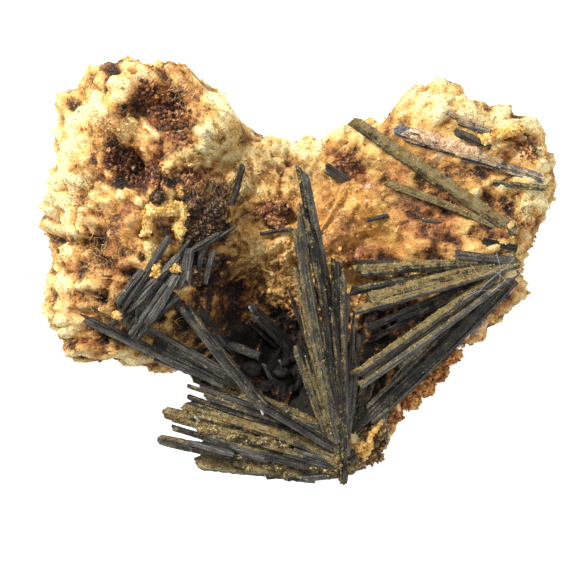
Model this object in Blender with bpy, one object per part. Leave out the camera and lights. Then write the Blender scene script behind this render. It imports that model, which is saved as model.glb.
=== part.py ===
"""Stibnite specimen: sprays and single blades of a grey metallic mineral on a loose lump of pale rock.

Lengths are written in millimetres and turned into metres as each mesh is made. The specimen lies on
the flat underside of its rock, +Z is up, +Y runs to the rock's back edge, and the origin is the
middle of its footprint.
"""

import math

import bmesh
import bpy
import numpy as np
from mathutils import Matrix, Vector

MM = 0.001
GAP = 0.3
FRAME_SHIFT = Vector((0.0, -0.5, 0.0))

# The rock seen from above, as corners of its widest contour, from the notch in its back edge
# and then clockwise.
ROCK_MIDDLE = np.array((0.8, 1.6))
ROCK_OUTLINE = np.array([
    (2.8, 29.0), (5.8, 27.6), (10.8, 30.6), (17.8, 31.0), (21.8, 36.2), (23.8, 37.4),
    (28.8, 36.6), (34.8, 34.6), (40.8, 32.6), (45.8, 30.6), (48.6, 27.6), (51.0, 21.6),
    (52.0, 16.6), (50.6, 11.6), (48.6, 7.6), (46.4, 2.2), (43.8, -3.4), (40.8, -7.4),
    (37.8, -11.4), (33.8, -15.4), (31.2, -17.4), (28.4, -21.0), (25.8, -23.8), (21.8, -27.0),
    (18.8, -28.6), (15.2, -31.4), (10.8, -36.0), (5.8, -35.8), (0.8, -32.0), (-5.2, -28.4),
    (-12.2, -25.4), (-18.2, -23.0), (-25.2, -20.4), (-29.6, -18.8), (-33.4, -18.6),
    (-36.8, -17.4), (-40.6, -18.2), (-44.0, -17.2), (-46.8, -15.0), (-47.8, -11.4),
    (-48.4, -7.4), (-48.8, -1.4), (-49.0, 4.6), (-49.2, 14.6), (-49.0, 20.6), (-47.2, 28.6),
    (-46.0, 34.6), (-42.2, 37.6), (-38.6, 41.0), (-30.4, 42.2), (-26.2, 43.0), (-22.2, 42.2),
    (-19.8, 39.6), (-14.2, 35.6), (-12.2, 34.0), (-11.2, 31.0), (-6.8, 29.0), (-1.2, 28.0),
])

# Spot heights of the rock's upper side: x, y and height.
ROCK_SPOTS = np.array([
    # left lobe, its rough hollow at the back and its rim
    (-33.2, 14.6, 33.0), (-26.2, 32.6, 24.0), (-26.2, 40.6, 27.0), (-17.2, 28.6, 29.0),
    (-33.2, 21.6, 27.0), (-47.2, 14.6, 25.0), (-47.2, -1.4, 24.0), (-39.2, 28.6, 30.0),
    (-42.0, 36.0, 27.0), (-39.2, -3.4, 29.0), (-39.2, -15.4, 20.0), (-29.2, -15.4, 18.0),
    (-27.2, -3.4, 27.0), (-26.0, 6.0, 28.5), (-22.6, 1.6, 26.5),
    (-22.4, -6.0, 21.5),
    # dark crust on the lobe's inner slope, and the saddle between the lobes
    (-17.2, 11.6, 27.0), (-16.6, 1.6, 19.0), (-10.2, 7.0, 17.5), (-7.2, 24.6, 22.0),
    (0.8, 22.6, 20.0), (5.8, 8.8, 22.0), (10.8, 24.6, 23.0), (-10.6, 17.6, 21.0),
    # hollow in front of the saddle
    (-11.2, -5.4, 10.0), (-5.2, -15.4, 6.0), (0.8, -25.4, 7.0), (0.8, -3.4, 13.0),
    (12.8, -5.4, 12.0), (-9.2, -25.4, 9.0), (-18.2, -22.4, 11.0),
    # right lobe and the slope in front of it
    (26.8, 28.6, 27.0), (40.8, 30.6, 26.5), (34.8, 14.6, 24.5), (26.8, 7.6, 22.0),
    (14.8, 4.6, 19.5), (46.8, 14.6, 25.5), (43.8, 2.2, 27.0), (20.8, -11.4, 12.0),
    (46.0, 6.6, 27.0), (40.4, 21.4, 27.0),
    (30.8, -11.4, 13.0), (26.8, -21.4, 13.0), (19.0, 14.0, 23.5),
    # ledge that carries the foot of the main spray
    (8.4, -34.0, 24.0), (13.4, -28.4, 15.0), (3.4, -29.4, 15.0),
])
SPOT_REACH = 3.0

# Pits and vugs that open upwards: x, y, radius and depth.
ROCK_PITS = np.array([
    # rusty vugs of the left lobe and the crack behind the dark crust
    (-28.6, 35.4, 3.6, 5.0), (-24.4, 31.4, 2.6, 4.5), (-32.4, 32.6, 1.5, 4.0),
    (-34.4, 22.6, 2.8, 4.5), (-31.2, 19.4, 2.0, 4.0), (-27.8, 23.2, 1.2, 2.5),
    (-21.6, 20.0, 1.5, 3.0), (-17.6, 19.2, 1.4, 2.5), (-44.2, 26.0, 2.0, 2.5),
    # holes in the lobe's outer slope and above the front hollow
    (-38.0, -5.4, 1.8, 3.5), (-42.2, -8.0, 1.6, 2.5), (-43.4, 6.0, 2.2, 2.5),
    (-2.6, 10.2, 1.3, 2.5), (-9.4, -1.0, 3.4, 3.5), (-4.6, -8.6, 3.0, 2.5),
    # right lobe
    (45.6, 25.4, 1.8, 3.0), (29.0, 20.4, 2.2, 2.5), (12.0, 20.0, 2.4, 2.5),
    (36.6, 12.8, 2.0, 2.0), (25.4, -12.6, 2.6, 3.0),
])
PIT_EDGE = 4
RIM_SHARE = 0.52
SHOULDER = 5
WALL_STRETCH = 2.75
BASE_CUT = 1.25
ROCK_SUBDIVISIONS = 5
ROCK_KEEP = 0.84

# Relief of the broken rock: size of a plate or lump, then how far it stands out.
PLATES = ((15.0, 2.0), (7.0, 1.4))
PLATE_EDGE = 14.0
PLATE_TILT = 1.8
PLATE_JITTER = 0.4
PLATE_SEEDS = 10
TOP_SHARE = 0.45
WALL_INSET = 1.0
LUMPS = ((4.6, 0.7),)
RELIEF_FADE = 4.0

# Each blade: outer end, foot, width, depth and how many parallel rods make it up.
MAIN_SPRAY = [
    # upright fan
    ((1.0, 21.0, 36.0), (8.4, -14.0, 25.4), 2.0, 1.7, 1),
    ((0.6, 11.6, 35.0), (9.2, -33.4, 21.5), 3.8, 2.6, 3),
    ((-0.2, 1.4, 30.6), (7.8, -34.0, 20.0), 1.7, 1.7, 1),
    ((-1.6, -2.8, 27.6), (8.4, -29.4, 20.4), 0.9, 0.9, 1),
    ((8.4, 2.6, 31.8), (9.4, -36.4, 20.0), 2.7, 2.2, 2),
    ((6.0, -3.4, 31.2), (9.0, -34.4, 21.0), 2.0, 1.8, 1),
    ((5.0, -9.0, 30.0), (9.2, -36.4, 20.6), 2.2, 2.0, 1),
    ((11.6, -7.6, 24.0), (9.8, -36.8, 19.0), 1.2, 1.2, 1),
    ((2.8, -11.6, 28.2), (8.4, -36.0, 19.8), 2.0, 1.8, 1),
    ((0.4, -14.2, 25.6), (8.2, -37.4, 18.5), 2.6, 1.8, 2),
    ((9.0, -28.0, 20.5), (9.5, -41.8, 16.6), 1.6, 2.6, 1),
    ((7.0, -30.0, 18.5), (8.0, -40.6, 16.0), 2.2, 2.4, 1),
    # spray that lies out to the left
    ((-28.0, -33.2, 10.5), (4.0, -39.4, 14.0), 2.6, 2.0, 2),
    ((-26.9, -27.9, 12.6), (7.0, -36.2, 15.6), 2.6, 2.2, 2),
    ((-22.8, -27.1, 15.6), (7.6, -35.4, 17.5), 2.4, 1.8, 1),
    ((-20.4, -29.8, 15.0), (4.8, -38.6, 16.0), 4.2, 1.5, 2),
    ((-25.0, -31.0, 12.0), (5.2, -39.0, 14.8), 1.5, 1.5, 1),
    ((-13.2, -35.9, 14.2), (6.0, -39.4, 15.5), 2.2, 1.8, 1),
    ((-20.4, -37.8, 9.0), (4.0, -40.4, 13.4), 4.6, 1.8, 2),
    ((-21.4, -24.2, 16.6), (8.0, -33.6, 18.0), 2.0, 1.7, 1),
    ((-21.2, -25.8, 15.8), (8.0, -34.8, 17.0), 1.8, 1.7, 1),
    ((-22.8, -19.6, 13.6), (8.0, -32.4, 18.4), 2.4, 1.8, 2),
    ((-2.0, -41.4, 12.6), (7.6, -38.8, 15.4), 1.2, 1.1, 1),
    # long blade that crosses the hollow in two lengths
    ((-23.4, -5.4, 24.2), (-6.2, -26.8, 26.4), 2.2, 2.0, 2),
    ((-8.0, -25.4, 26.6), (8.4, -35.4, 19.5), 2.2, 2.0, 1),
    # tuft to the right of the foot
    ((17.8, -27.0, 15.0), (9.4, -37.2, 16.5), 2.6, 2.6, 1),
    ((18.6, -30.6, 13.6), (9.4, -38.4, 16.0), 3.0, 2.8, 2),
    ((17.0, -34.4, 12.0), (9.2, -39.4, 15.5), 2.8, 2.6, 2),
    ((13.8, -38.0, 12.0), (8.8, -39.6, 15.5), 2.4, 2.4, 1),
    ((16.2, -28.6, 16.6), (15.0, -34.0, 14.0), 1.6, 1.6, 1),
]
RIGHT_SPRAY = [
    ((31.6, 3.8, 26.0), (43.8, 2.4, 24.6), 2.0, 1.8, 1),
    ((20.8, 1.6, 25.2), (43.2, 2.2, 24.0), 0.9, 0.9, 1),
    ((11.6, 0.2, 26.4), (43.8, 2.6, 24.2), 2.4, 2.0, 2),
    ((10.6, -3.7, 25.0), (43.4, 1.6, 22.8), 2.0, 1.8, 1),
    ((10.9, -6.8, 27.8), (44.2, 2.6, 24.4), 3.2, 2.2, 2),
    ((14.4, -11.0, 20.0), (43.0, 0.8, 21.6), 1.6, 1.6, 1),
    ((11.6, -20.4, 25.4), (43.2, 1.8, 23.4), 2.0, 1.8, 1),
    ((12.4, -22.2, 24.6), (43.6, 0.4, 22.6), 2.2, 1.8, 1),
    ((12.4, -30.6, 18.4), (43.2, -0.8, 21.6), 4.0, 2.6, 3),
    ((20.8, -19.4, 15.4), (42.8, -1.4, 21.0), 1.8, 1.6, 1),
    ((20.4, -24.2, 14.0), (42.2, -2.6, 20.0), 1.8, 1.6, 1),
]
LEFT_CLUSTER = [
    ((-34.9, -7.9, 27.8), (-25.2, 7.2, 28.2), 1.8, 1.6, 1),
    ((-33.6, -8.0, 27.2), (-23.4, 3.4, 27.0), 1.8, 1.6, 1),
    ((-32.3, -12.6, 25.0), (-24.2, 0.2, 26.4), 3.6, 2.6, 3),
    ((-22.7, -3.6, 26.0), (-21.4, 5.0, 26.2), 2.4, 2.0, 2),
    ((-14.9, 8.1, 26.4), (-21.8, 4.0, 26.2), 1.6, 1.5, 1),
    ((-35.8, -6.4, 28.0), (-30.4, 0.6, 28.2), 1.8, 1.6, 1),
    ((-36.9, -10.2, 25.4), (-32.6, -7.0, 27.0), 1.6, 1.6, 1),
]
SINGLE_CRYSTALS = {
    "lower_left_blades": [
        ((-43.4, -8.6, 22.6), (-14.4, -22.2, 17.8), 2.0, 1.8, 2),
        ((-30.4, -11.4, 20.6), (-13.0, -21.2, 17.8), 3.0, 2.2, 2),
        ((-28.4, -17.2, 18.4), (-14.7, -21.8, 17.4), 1.0, 1.2, 1),
    ],
    "slanting_pair": [
        ((-19.2, -7.0, 21.4), (-11.6, -17.0, 8.0), 1.5, 1.4, 1),
        ((-7.2, -16.6, 11.6), (-15.0, -13.8, 12.0), 1.8, 1.4, 1),
    ],
    "hollow_crystal": [((-9.2, -6.8, 17.6), (1.2, -17.0, 5.0), 2.2, 2.0, 1)],
    "hollow_needle_back": [((-9.4, -9.8, 13.4), (-2.8, -15.8, 4.4), 0.9, 0.9, 1)],
    "hollow_needle_front": [((-6.4, -18.4, 12.0), (-2.4, -27.0, 4.6), 0.9, 0.9, 1)],
    "upright_stub": [((-10.6, 21.4, 23.8), (-12.8, 13.6, 22.4), 1.4, 1.4, 1)],
    "saddle_needle": [((-0.6, 8.8, 21.4), (-7.0, 7.8, 16.6), 0.9, 0.9, 1)],
    "saddle_stub": [((5.8, 21.0, 23.4), (10.0, 18.6, 20.4), 2.0, 1.8, 1)],
    "long_back_pair": [
        ((11.4, 30.2, 26.4), (44.0, 8.0, 25.2), 3.0, 2.4, 2),
        ((18.2, 18.0, 24.4), (43.4, 7.8, 24.4), 2.0, 1.8, 1),
    ],
    "crusted_bundle": [
        ((20.8, 28.4, 27.2), (40.8, 21.6, 25.4), 2.6, 2.4, 2),
        ((21.0, 27.0, 26.8), (35.2, 23.0, 25.4), 1.6, 1.8, 1),
        ((49.2, 18.8, 23.8), (33.0, 23.4, 25.4), 2.4, 1.6, 1),
    ],
    "right_edge_blade": [((49.8, 16.8, 24.8), (39.2, 18.0, 25.4), 1.5, 1.3, 1)],
    "back_stub": [((31.8, 28.0, 27.2), (38.6, 25.0, 23.4), 1.7, 1.6, 1)],
    "coated_ridge": [((30.2, 31.4, 25.8), (38.4, 28.2, 24.0), 1.9, 1.8, 1)],
    "slope_stub": [((14.4, 10.6, 22.8), (18.4, 11.4, 22.8), 1.1, 1.2, 1)],
    "slope_needle": [((25.0, 10.4, 22.4), (30.4, 9.8, 21.2), 0.8, 0.8, 1)],
    "root_side_blade": [((37.2, 6.4, 26.0), (44.0, 4.8, 24.4), 1.6, 1.4, 1)],
}
CRYSTAL_SIDES = 6
FOOT_TAPER = 0.85
TIP_LENGTH = 0.9
ROD_OVERLAP = 1.3
ROD_STAGGER = 2.2
ROLL_STEP = 37.0
ROLL_SPAN = 40.0
SHORT_EDGE = 0.004
COLLAPSE_ROUNDS = 3

MATRIX_LOOK = ((0.72, 0.58, 0.36), 0.9, 0.0)
CRYSTAL_LOOK = ((0.11, 0.11, 0.12), 0.45, 0.6)
CRUSTED_LOOK = ((0.27, 0.22, 0.10), 0.7, 0.2)


def clear_scene():
    for thing in list(bpy.data.objects):
        bpy.data.objects.remove(thing, do_unlink=True)


def new_collection(name):
    group = bpy.data.collections.new(name)
    bpy.context.scene.collection.children.link(group)
    return group


def material(name, look):
    colour, roughness, metallic = look
    made = bpy.data.materials.new(name)
    made.use_nodes = True
    shader = made.node_tree.nodes["Principled BSDF"]
    shader.inputs["Base Color"].default_value = (*colour, 1.0)
    shader.inputs["Roughness"].default_value = roughness
    shader.inputs["Metallic"].default_value = metallic
    return made


def corner_values(cells, seed):
    """A repeatable number from -1 to 1 for each whole-numbered lattice corner."""
    mixed = cells[:, 0] * 73856093 ^ cells[:, 1] * 19349663 ^ cells[:, 2] * 83492791
    mixed = (mixed + seed * 668265263) & 0xFFFFFFFF
    mixed = ((mixed ^ (mixed >> 13)) * 1274126177) & 0xFFFFFFFF
    return (mixed ^ (mixed >> 16)) / 0x7FFFFFFF - 1.0


def lattice_noise(points, seed):
    """Smooth noise: lattice corner values blended by a cubic step along each axis."""
    low = np.floor(points).astype(np.int64)
    part = points - low
    blend = part * part * (3.0 - 2.0 * part)
    total = np.zeros(len(points))
    for corner in np.ndindex(2, 2, 2):
        offset = np.array(corner)
        weight = np.prod(np.where(offset, blend, 1.0 - blend), axis=1)
        total += weight * corner_values(low + offset, seed)
    return total


def plates(points, seed):
    """Broken plates, each with its own level and tilt about a point in its lattice cell.

    A place takes the mean of the plates about it, weighted by e to the power of minus
    PLATE_EDGE times the distance to each plate's point, so the nearest one rules.
    """
    low = np.floor(points).astype(np.int64)
    total = np.zeros(len(points))
    weights = np.zeros(len(points))
    for corner in np.ndindex(3, 3, 3):
        cell = low + np.array(corner) - 1
        jitter = np.stack([corner_values(cell, seed + axis) for axis in (1, 2, 3)], axis=1)
        tilt = np.stack([corner_values(cell, seed + axis) for axis in (4, 5, 6)], axis=1)
        away = points - (cell + 0.5 + PLATE_JITTER * jitter)
        weight = np.exp(-PLATE_EDGE * np.linalg.norm(away, axis=1))
        total += weight * (corner_values(cell, seed) + PLATE_TILT * np.sum(away * tilt, axis=1))
        weights += weight
    return total / weights


def spot_height(x, y):
    """Height of the rock's upper side, a mean of the spot heights that favours the nearest."""
    apart = (x[:, None] - ROCK_SPOTS[:, 0]) ** 2 + (y[:, None] - ROCK_SPOTS[:, 1]) ** 2
    weight = (apart + SPOT_REACH ** 2) ** -2.0
    return weight @ ROCK_SPOTS[:, 2] / weight.sum(axis=1)


def pit_depth(x, y):
    """Depth of the pits: each is a flat-bottomed well whose sides fall off as 1 / (1 + d**4)."""
    apart = np.hypot(x[:, None] - ROCK_PITS[:, 0], y[:, None] - ROCK_PITS[:, 1])
    return (ROCK_PITS[:, 3] / (1.0 + (apart / ROCK_PITS[:, 2]) ** PIT_EDGE)).sum(axis=1)


def rock_reach(angle):
    """Distance from the rock's middle to its widest contour in a direction."""
    corners = ROCK_OUTLINE - ROCK_MIDDLE
    bearings = np.arctan2(corners[:, 1], corners[:, 0])
    order = np.argsort(bearings)
    lengths = np.hypot(corners[:, 0], corners[:, 1])
    return np.interp(angle, bearings[order], lengths[order], period=2 * math.pi)


def rock_surface(ball):
    """The rock as a ball pressed into a rounded box, then to its plan and its spot heights.

    A point's bearing picks the reach. With s = its distance from the ball's axis and r = its
    rise times WALL_STRETCH, both are divided by (s**SHOULDER + r**SHOULDER)**(1 / SHOULDER):
    s then says how far out the point lies, and r moves it between the rim and the top or the
    flat underside. Plates and lumps push it in or out along the rounded box's normal.
    """
    angle = np.arctan2(ball[:, 1], ball[:, 0])
    side = np.hypot(ball[:, 0], ball[:, 1])
    rise = WALL_STRETCH * ball[:, 2]
    size = (side ** SHOULDER + np.abs(rise) ** SHOULDER) ** (1 / SHOULDER)
    side, rise = side / size, rise / size
    outward = np.stack((np.cos(angle), np.sin(angle)), axis=1)
    reach = rock_reach(angle)
    plan = ROCK_MIDDLE + outward * (reach * side)[:, None]
    edge = ROCK_MIDDLE + outward * reach[:, None]
    top = spot_height(plan[:, 0], plan[:, 1]) - pit_depth(plan[:, 0], plan[:, 1])
    rim = RIM_SHARE * spot_height(edge[:, 0], edge[:, 1])
    height = np.where(rise > 0, rim + (top - rim) * rise, rim * (1 + BASE_CUT * rise))
    place = np.column_stack((plan, height))
    flat = side ** (SHOULDER - 1)
    steep = np.sign(rise) * np.abs(rise) ** (SHOULDER - 1)
    normal = np.column_stack((outward * flat[:, None], steep))
    normal /= np.linalg.norm(normal, axis=1)[:, None]
    broken = sum(stands * plates(place / wide, PLATE_SEEDS * seed)
                 for seed, (wide, stands) in enumerate(PLATES))
    lumpy = sum(stands * lattice_noise(place / wide, seed)
                for seed, (wide, stands) in enumerate(LUMPS))
    facing_up = np.clip(normal[:, 2], 0.0, 1.0)
    bump = broken * (1 - (1 - TOP_SHARE) * facing_up) + lumpy - WALL_INSET * (1 - facing_up)
    place += normal * bump[:, None] * np.clip(height / RELIEF_FADE, 0.0, 1.0)[:, None]
    place[:, 2] = np.maximum(place[:, 2], 0.0)
    return place


def islands(bm):
    """The separate bodies of a mesh, as lists of faces."""
    waiting = set(bm.faces)
    found = []
    while waiting:
        body = [waiting.pop()]
        for face in body:
            for edge in face.edges:
                for other in edge.link_faces if len(edge.link_faces) == 2 else ():
                    if other in waiting:
                        waiting.remove(other)
                        body.append(other)
        found.append(body)
    return found


def settle(thing):
    """Applies a piece's modifiers and keeps only its largest body."""
    graph = bpy.context.evaluated_depsgraph_get()
    mesh = bpy.data.meshes.new_from_object(thing.evaluated_get(graph))
    thing.modifiers.clear()
    old = thing.data
    thing.data = mesh
    bpy.data.meshes.remove(old)
    bm = bmesh.new()
    bm.from_mesh(mesh)
    bmesh.ops.triangulate(bm, faces=bm.faces)
    for _ in range(COLLAPSE_ROUNDS):
        short = [edge for edge in bm.edges if edge.calc_length() < SHORT_EDGE * MM]
        bmesh.ops.collapse(bm, edges=short)
    bodies = sorted(islands(bm), key=len)
    crumbs = [face for body in bodies[:-1] for face in body]
    bmesh.ops.delete(bm, geom=crumbs, context="FACES")
    bm.to_mesh(mesh)
    bm.free()
    mesh.name = thing.name
    print(thing.name, "bodies", len(bodies), "triangles", len(mesh.polygons))


def rod_mesh(name, tip, foot, width, depth, grow):
    """A flattened six-sided prism from foot to tip with a low pointed end."""
    tip, foot = Vector(tip), Vector(foot)
    along = (tip - foot).normalized()
    length = (tip - foot).length + grow
    bm = bmesh.new()
    bmesh.ops.create_cone(bm, cap_ends=True, segments=CRYSTAL_SIDES,
                          radius1=0.5 * FOOT_TAPER, radius2=0.5, depth=1.0)
    end = max(bm.faces, key=lambda face: face.calc_center_median().z)
    point = bmesh.ops.poke(bm, faces=[end])["verts"][0]
    bmesh.ops.translate(bm, verts=bm.verts, vec=(0, 0, 0.5))
    flat = length - TIP_LENGTH * min(width, depth)
    for vert in bm.verts:
        high = length if vert == point else vert.co.z * flat
        vert.co = ((width + 2 * grow) * vert.co.x, (depth + 2 * grow) * vert.co.y, high)
    across = along.cross(Vector((0, 0, 1))).normalized()
    upward = across.cross(along)
    turn = Matrix((across, upward, along)).transposed().to_4x4()
    place = Matrix.Translation((foot - along * grow + FRAME_SHIFT) * MM)
    bmesh.ops.transform(bm, matrix=place @ turn @ Matrix.Scale(MM, 4), verts=bm.verts)
    bmesh.ops.recalc_face_normals(bm, faces=bm.faces)
    mesh = bpy.data.meshes.new(name)
    bm.to_mesh(mesh)
    bm.free()
    return mesh


def rods(name, blades, grow=0.0):
    """The prisms of a group of blades, each blade a row of parallel rods of unlike length."""
    made = []
    for number, (tip, foot, width, depth, count) in enumerate(blades):
        tip, foot = Vector(tip), Vector(foot)
        along = (tip - foot).normalized()
        sideways = along.cross(Vector((0, 0, 1))).normalized()
        roll = math.radians((number * ROLL_STEP) % ROLL_SPAN - ROLL_SPAN / 2)
        sideways = Matrix.Rotation(roll, 3, along) @ sideways
        for row in range(count):
            offset = sideways * width * ((row + 0.5) / count - 0.5)
            short = along * ROD_STAGGER * ((row * 2 + number) % 3) * (row != count // 2)
            share = width / count * (ROD_OVERLAP if count > 1 else 1.0)
            label = f"{name}_{number}_{row}"
            mesh = rod_mesh(label, tip + offset - short, foot + offset, share, depth, grow)
            made.append(bpy.data.objects.new(label, mesh))
    return made


def boolean(thing, operation, helpers):
    cut = thing.modifiers.new(operation.lower(), "BOOLEAN")
    cut.operation = operation
    cut.solver = "EXACT"
    cut.operand_type = "COLLECTION"
    cut.collection = helpers


def helper_group(name, things, parent):
    group = bpy.data.collections.new(name)
    parent.children.link(group)
    for thing in things:
        group.objects.link(thing)
        thing.hide_render = True
        thing.display_type = "WIRE"
    return group


def crystal_group(name, blades, look, specimen, cutters):
    """One node: blades that grew into each other, joined in one solid."""
    pieces = rods(name, blades)
    thing = pieces[0]
    thing.name = name
    specimen.objects.link(thing)
    if len(pieces) > 1:
        helpers = helper_group(name + "_joined", pieces[1:], cutters)
        boolean(thing, "UNION", helpers)
    settle(thing)
    thing.data.materials.clear()
    thing.data.materials.append(look)
    return thing


def matrix_rock(groups, look, specimen, cutters):
    """The rock, with a socket round the foot of each crystal."""
    bm = bmesh.new()
    bmesh.ops.create_icosphere(bm, subdivisions=ROCK_SUBDIVISIONS, radius=1.0)
    ball = np.array([vert.co for vert in bm.verts])
    ball /= np.linalg.norm(ball, axis=1)[:, None]
    for vert, place in zip(bm.verts, rock_surface(ball)):
        vert.co = (Vector(place) + FRAME_SHIFT) * MM
    bmesh.ops.recalc_face_normals(bm, faces=bm.faces)
    mesh = bpy.data.meshes.new("matrix")
    bm.to_mesh(mesh)
    bm.free()
    rock = bpy.data.objects.new("matrix", mesh)
    specimen.objects.link(rock)
    thin = rock.modifiers.new("thin", "DECIMATE")
    thin.ratio = ROCK_KEEP
    sockets = [rod for name, blades in groups.items() for rod in rods(name + "_socket", blades, GAP)]
    boolean(rock, "DIFFERENCE", helper_group("sockets", sockets, cutters))
    settle(rock)
    rock.data.materials.append(look)
    return rock


def main():
    clear_scene()
    specimen = new_collection("stibnite_specimen")
    cutters = new_collection("cutters")
    grey = material("stibnite", CRYSTAL_LOOK)
    crusted = material("crusted_stibnite", CRUSTED_LOOK)
    groups = {"main_spray": MAIN_SPRAY, "right_spray": RIGHT_SPRAY,
              "left_cluster": LEFT_CLUSTER, **SINGLE_CRYSTALS}
    coated = {"crusted_bundle", "coated_ridge", "long_back_pair"}
    for name, blades in groups.items():
        crystal_group(name, blades, crusted if name in coated else grey, specimen, cutters)
    matrix_rock(groups, material("matrix_rock", MATRIX_LOOK), specimen, cutters)


main()
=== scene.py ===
# %% [markdown]
# A stibnite specimen, dressed
#
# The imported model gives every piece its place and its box. This lesson covers those plain solids
# with the surfaces that a person sees: broken, stained rock and bundles of grooved, dusty metal
# blades. It is seen from straight above, as it lies on a light table.

# %% Load the frame
import math

import bpy
import numpy as np
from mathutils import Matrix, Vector


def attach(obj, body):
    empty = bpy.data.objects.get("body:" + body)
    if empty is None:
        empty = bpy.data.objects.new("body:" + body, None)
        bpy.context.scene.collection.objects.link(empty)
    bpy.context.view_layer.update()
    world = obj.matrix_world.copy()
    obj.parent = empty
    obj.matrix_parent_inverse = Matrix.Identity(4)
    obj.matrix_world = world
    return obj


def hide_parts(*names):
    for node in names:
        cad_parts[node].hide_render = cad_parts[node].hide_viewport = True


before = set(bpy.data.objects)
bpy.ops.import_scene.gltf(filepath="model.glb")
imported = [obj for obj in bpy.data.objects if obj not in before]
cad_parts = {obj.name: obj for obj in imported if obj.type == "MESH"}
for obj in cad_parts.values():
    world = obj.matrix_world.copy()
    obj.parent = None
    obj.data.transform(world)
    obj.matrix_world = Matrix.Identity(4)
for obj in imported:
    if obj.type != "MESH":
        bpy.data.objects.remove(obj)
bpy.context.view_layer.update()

MM = 0.001
SHIFT = np.array((0.0, -0.5, 0.0))
print("nodes in the frame:", len(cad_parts))

# %% [markdown]
# Tables of numbers
#
# Places, sizes and shades are kept as tables of bare numbers, because a long list of nested
# brackets is hard to read and to mend. One helper turns such a text into rows of an array.


# %% Table
def table(text):
    """The rows of a table: a row ends with its line or at a semicolon, and # starts a comment."""
    lines = [line.split("#")[0] for line in text.splitlines()]
    rows = [row.split() for line in lines for row in line.split(";")]
    return np.array([row for row in rows if row], float)


print("a table of", table("1 2 3; 4 5 6").shape)

# %% [markdown]
# The camera and the light table
#
# The photograph looks straight down, 5 of its pixels to a millimetre, on a table so bright that it
# burns out to white and makes the rock's rims glow. A long lens far away keeps the tall blades from
# leaning outwards. The table is a plane that gives light of its own, which also takes the shadows
# off it, and the blades are modelled by one large soft lamp from the upper left.

# %% Camera
VIEW_WIDTH = 0.115
VIEW_CENTRE = (-0.0017, -0.0034)
CAMERA_HEIGHT = 1.8
SENSOR = 36.0
MIDDLE_HEIGHT = 0.018
lens = SENSOR * (CAMERA_HEIGHT - MIDDLE_HEIGHT) / VIEW_WIDTH
camera_data = bpy.data.cameras.new("camera")
camera_data.sensor_width = SENSOR
camera_data.lens = lens
camera_data.clip_start = 0.1
camera_data.clip_end = 10.0
camera = bpy.data.objects.new("camera", camera_data)
camera.location = (*VIEW_CENTRE, CAMERA_HEIGHT)
bpy.context.scene.collection.objects.link(camera)
bpy.context.scene.camera = camera
bpy.context.scene.view_settings.view_transform = "Standard"
print("lens of", round(lens), "mm")


# %% Lamps and sky
def lamp(name, place, size, power, colour=(1.0, 1.0, 1.0), aim=(0.0, 0.0, 0.015)):
    data = bpy.data.lights.new(name, "AREA")
    data.shape = "DISK"
    data.size = size
    data.energy = power
    data.color = colour
    thing = bpy.data.objects.new(name, data)
    thing.location = place
    thing.rotation_euler = (Vector(aim) - Vector(place)).to_track_quat("-Z", "Y").to_euler()
    bpy.context.scene.collection.objects.link(thing)
    return thing


lamp("key", (-0.36, 0.34, 0.46), 0.16, 6.6, (1.0, 0.97, 0.92))
lamp("fill", (0.45, -0.16, 0.36), 0.30, 0.9, (1.0, 0.98, 0.95))
lamp("top", (0.05, 0.10, 0.75), 0.24, 1.7)

SKY_STRENGTH = 0.13
world = bpy.context.scene.world or bpy.data.worlds.new("world")
bpy.context.scene.world = world
world.use_nodes = True
sky = world.node_tree.nodes["Background"]
sky.inputs["Color"].default_value = (1.0, 1.0, 1.0, 1.0)
sky.inputs["Strength"].default_value = SKY_STRENGTH
print("lamps:", len(bpy.data.lights))

# %% [markdown]
# Shader maths as plain expressions
#
# A finish is easier to read as `dust * (1 - glint)` than as a row of node calls. `Value` wraps an
# output socket, and its operators add Math nodes. `Finish` holds one material: its `node` method
# adds any node from its type, its settings and its inputs.


# %% Value and Finish
class Value:
    """An output socket that can be used in an expression."""

    def __init__(self, finish, socket):
        self.finish, self.socket = finish, socket

    def maths(self, operation, *others, clamp=False):
        values = dict(enumerate((self, *others)))
        return self.finish.node("Math", {"operation": operation, "use_clamp": clamp}, values)

    def __add__(self, other):
        return self.maths("ADD", other)

    def __mul__(self, other):
        return self.maths("MULTIPLY", other)

    def __sub__(self, other):
        return self.maths("SUBTRACT", other)

    def __rsub__(self, other):
        return self.finish.node("Math", {"operation": "SUBTRACT"}, {0: other, 1: self})

    __radd__ = __add__
    __rmul__ = __mul__

    def held(self):
        """The value kept from 0 to 1."""
        return self.maths("ADD", 0.0, clamp=True)

    def above(self, level, soft):
        """0 below level - soft, 1 above level + soft and a straight ramp between them."""
        return ((self - (level - soft)) * (0.5 / soft)).held()


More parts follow.
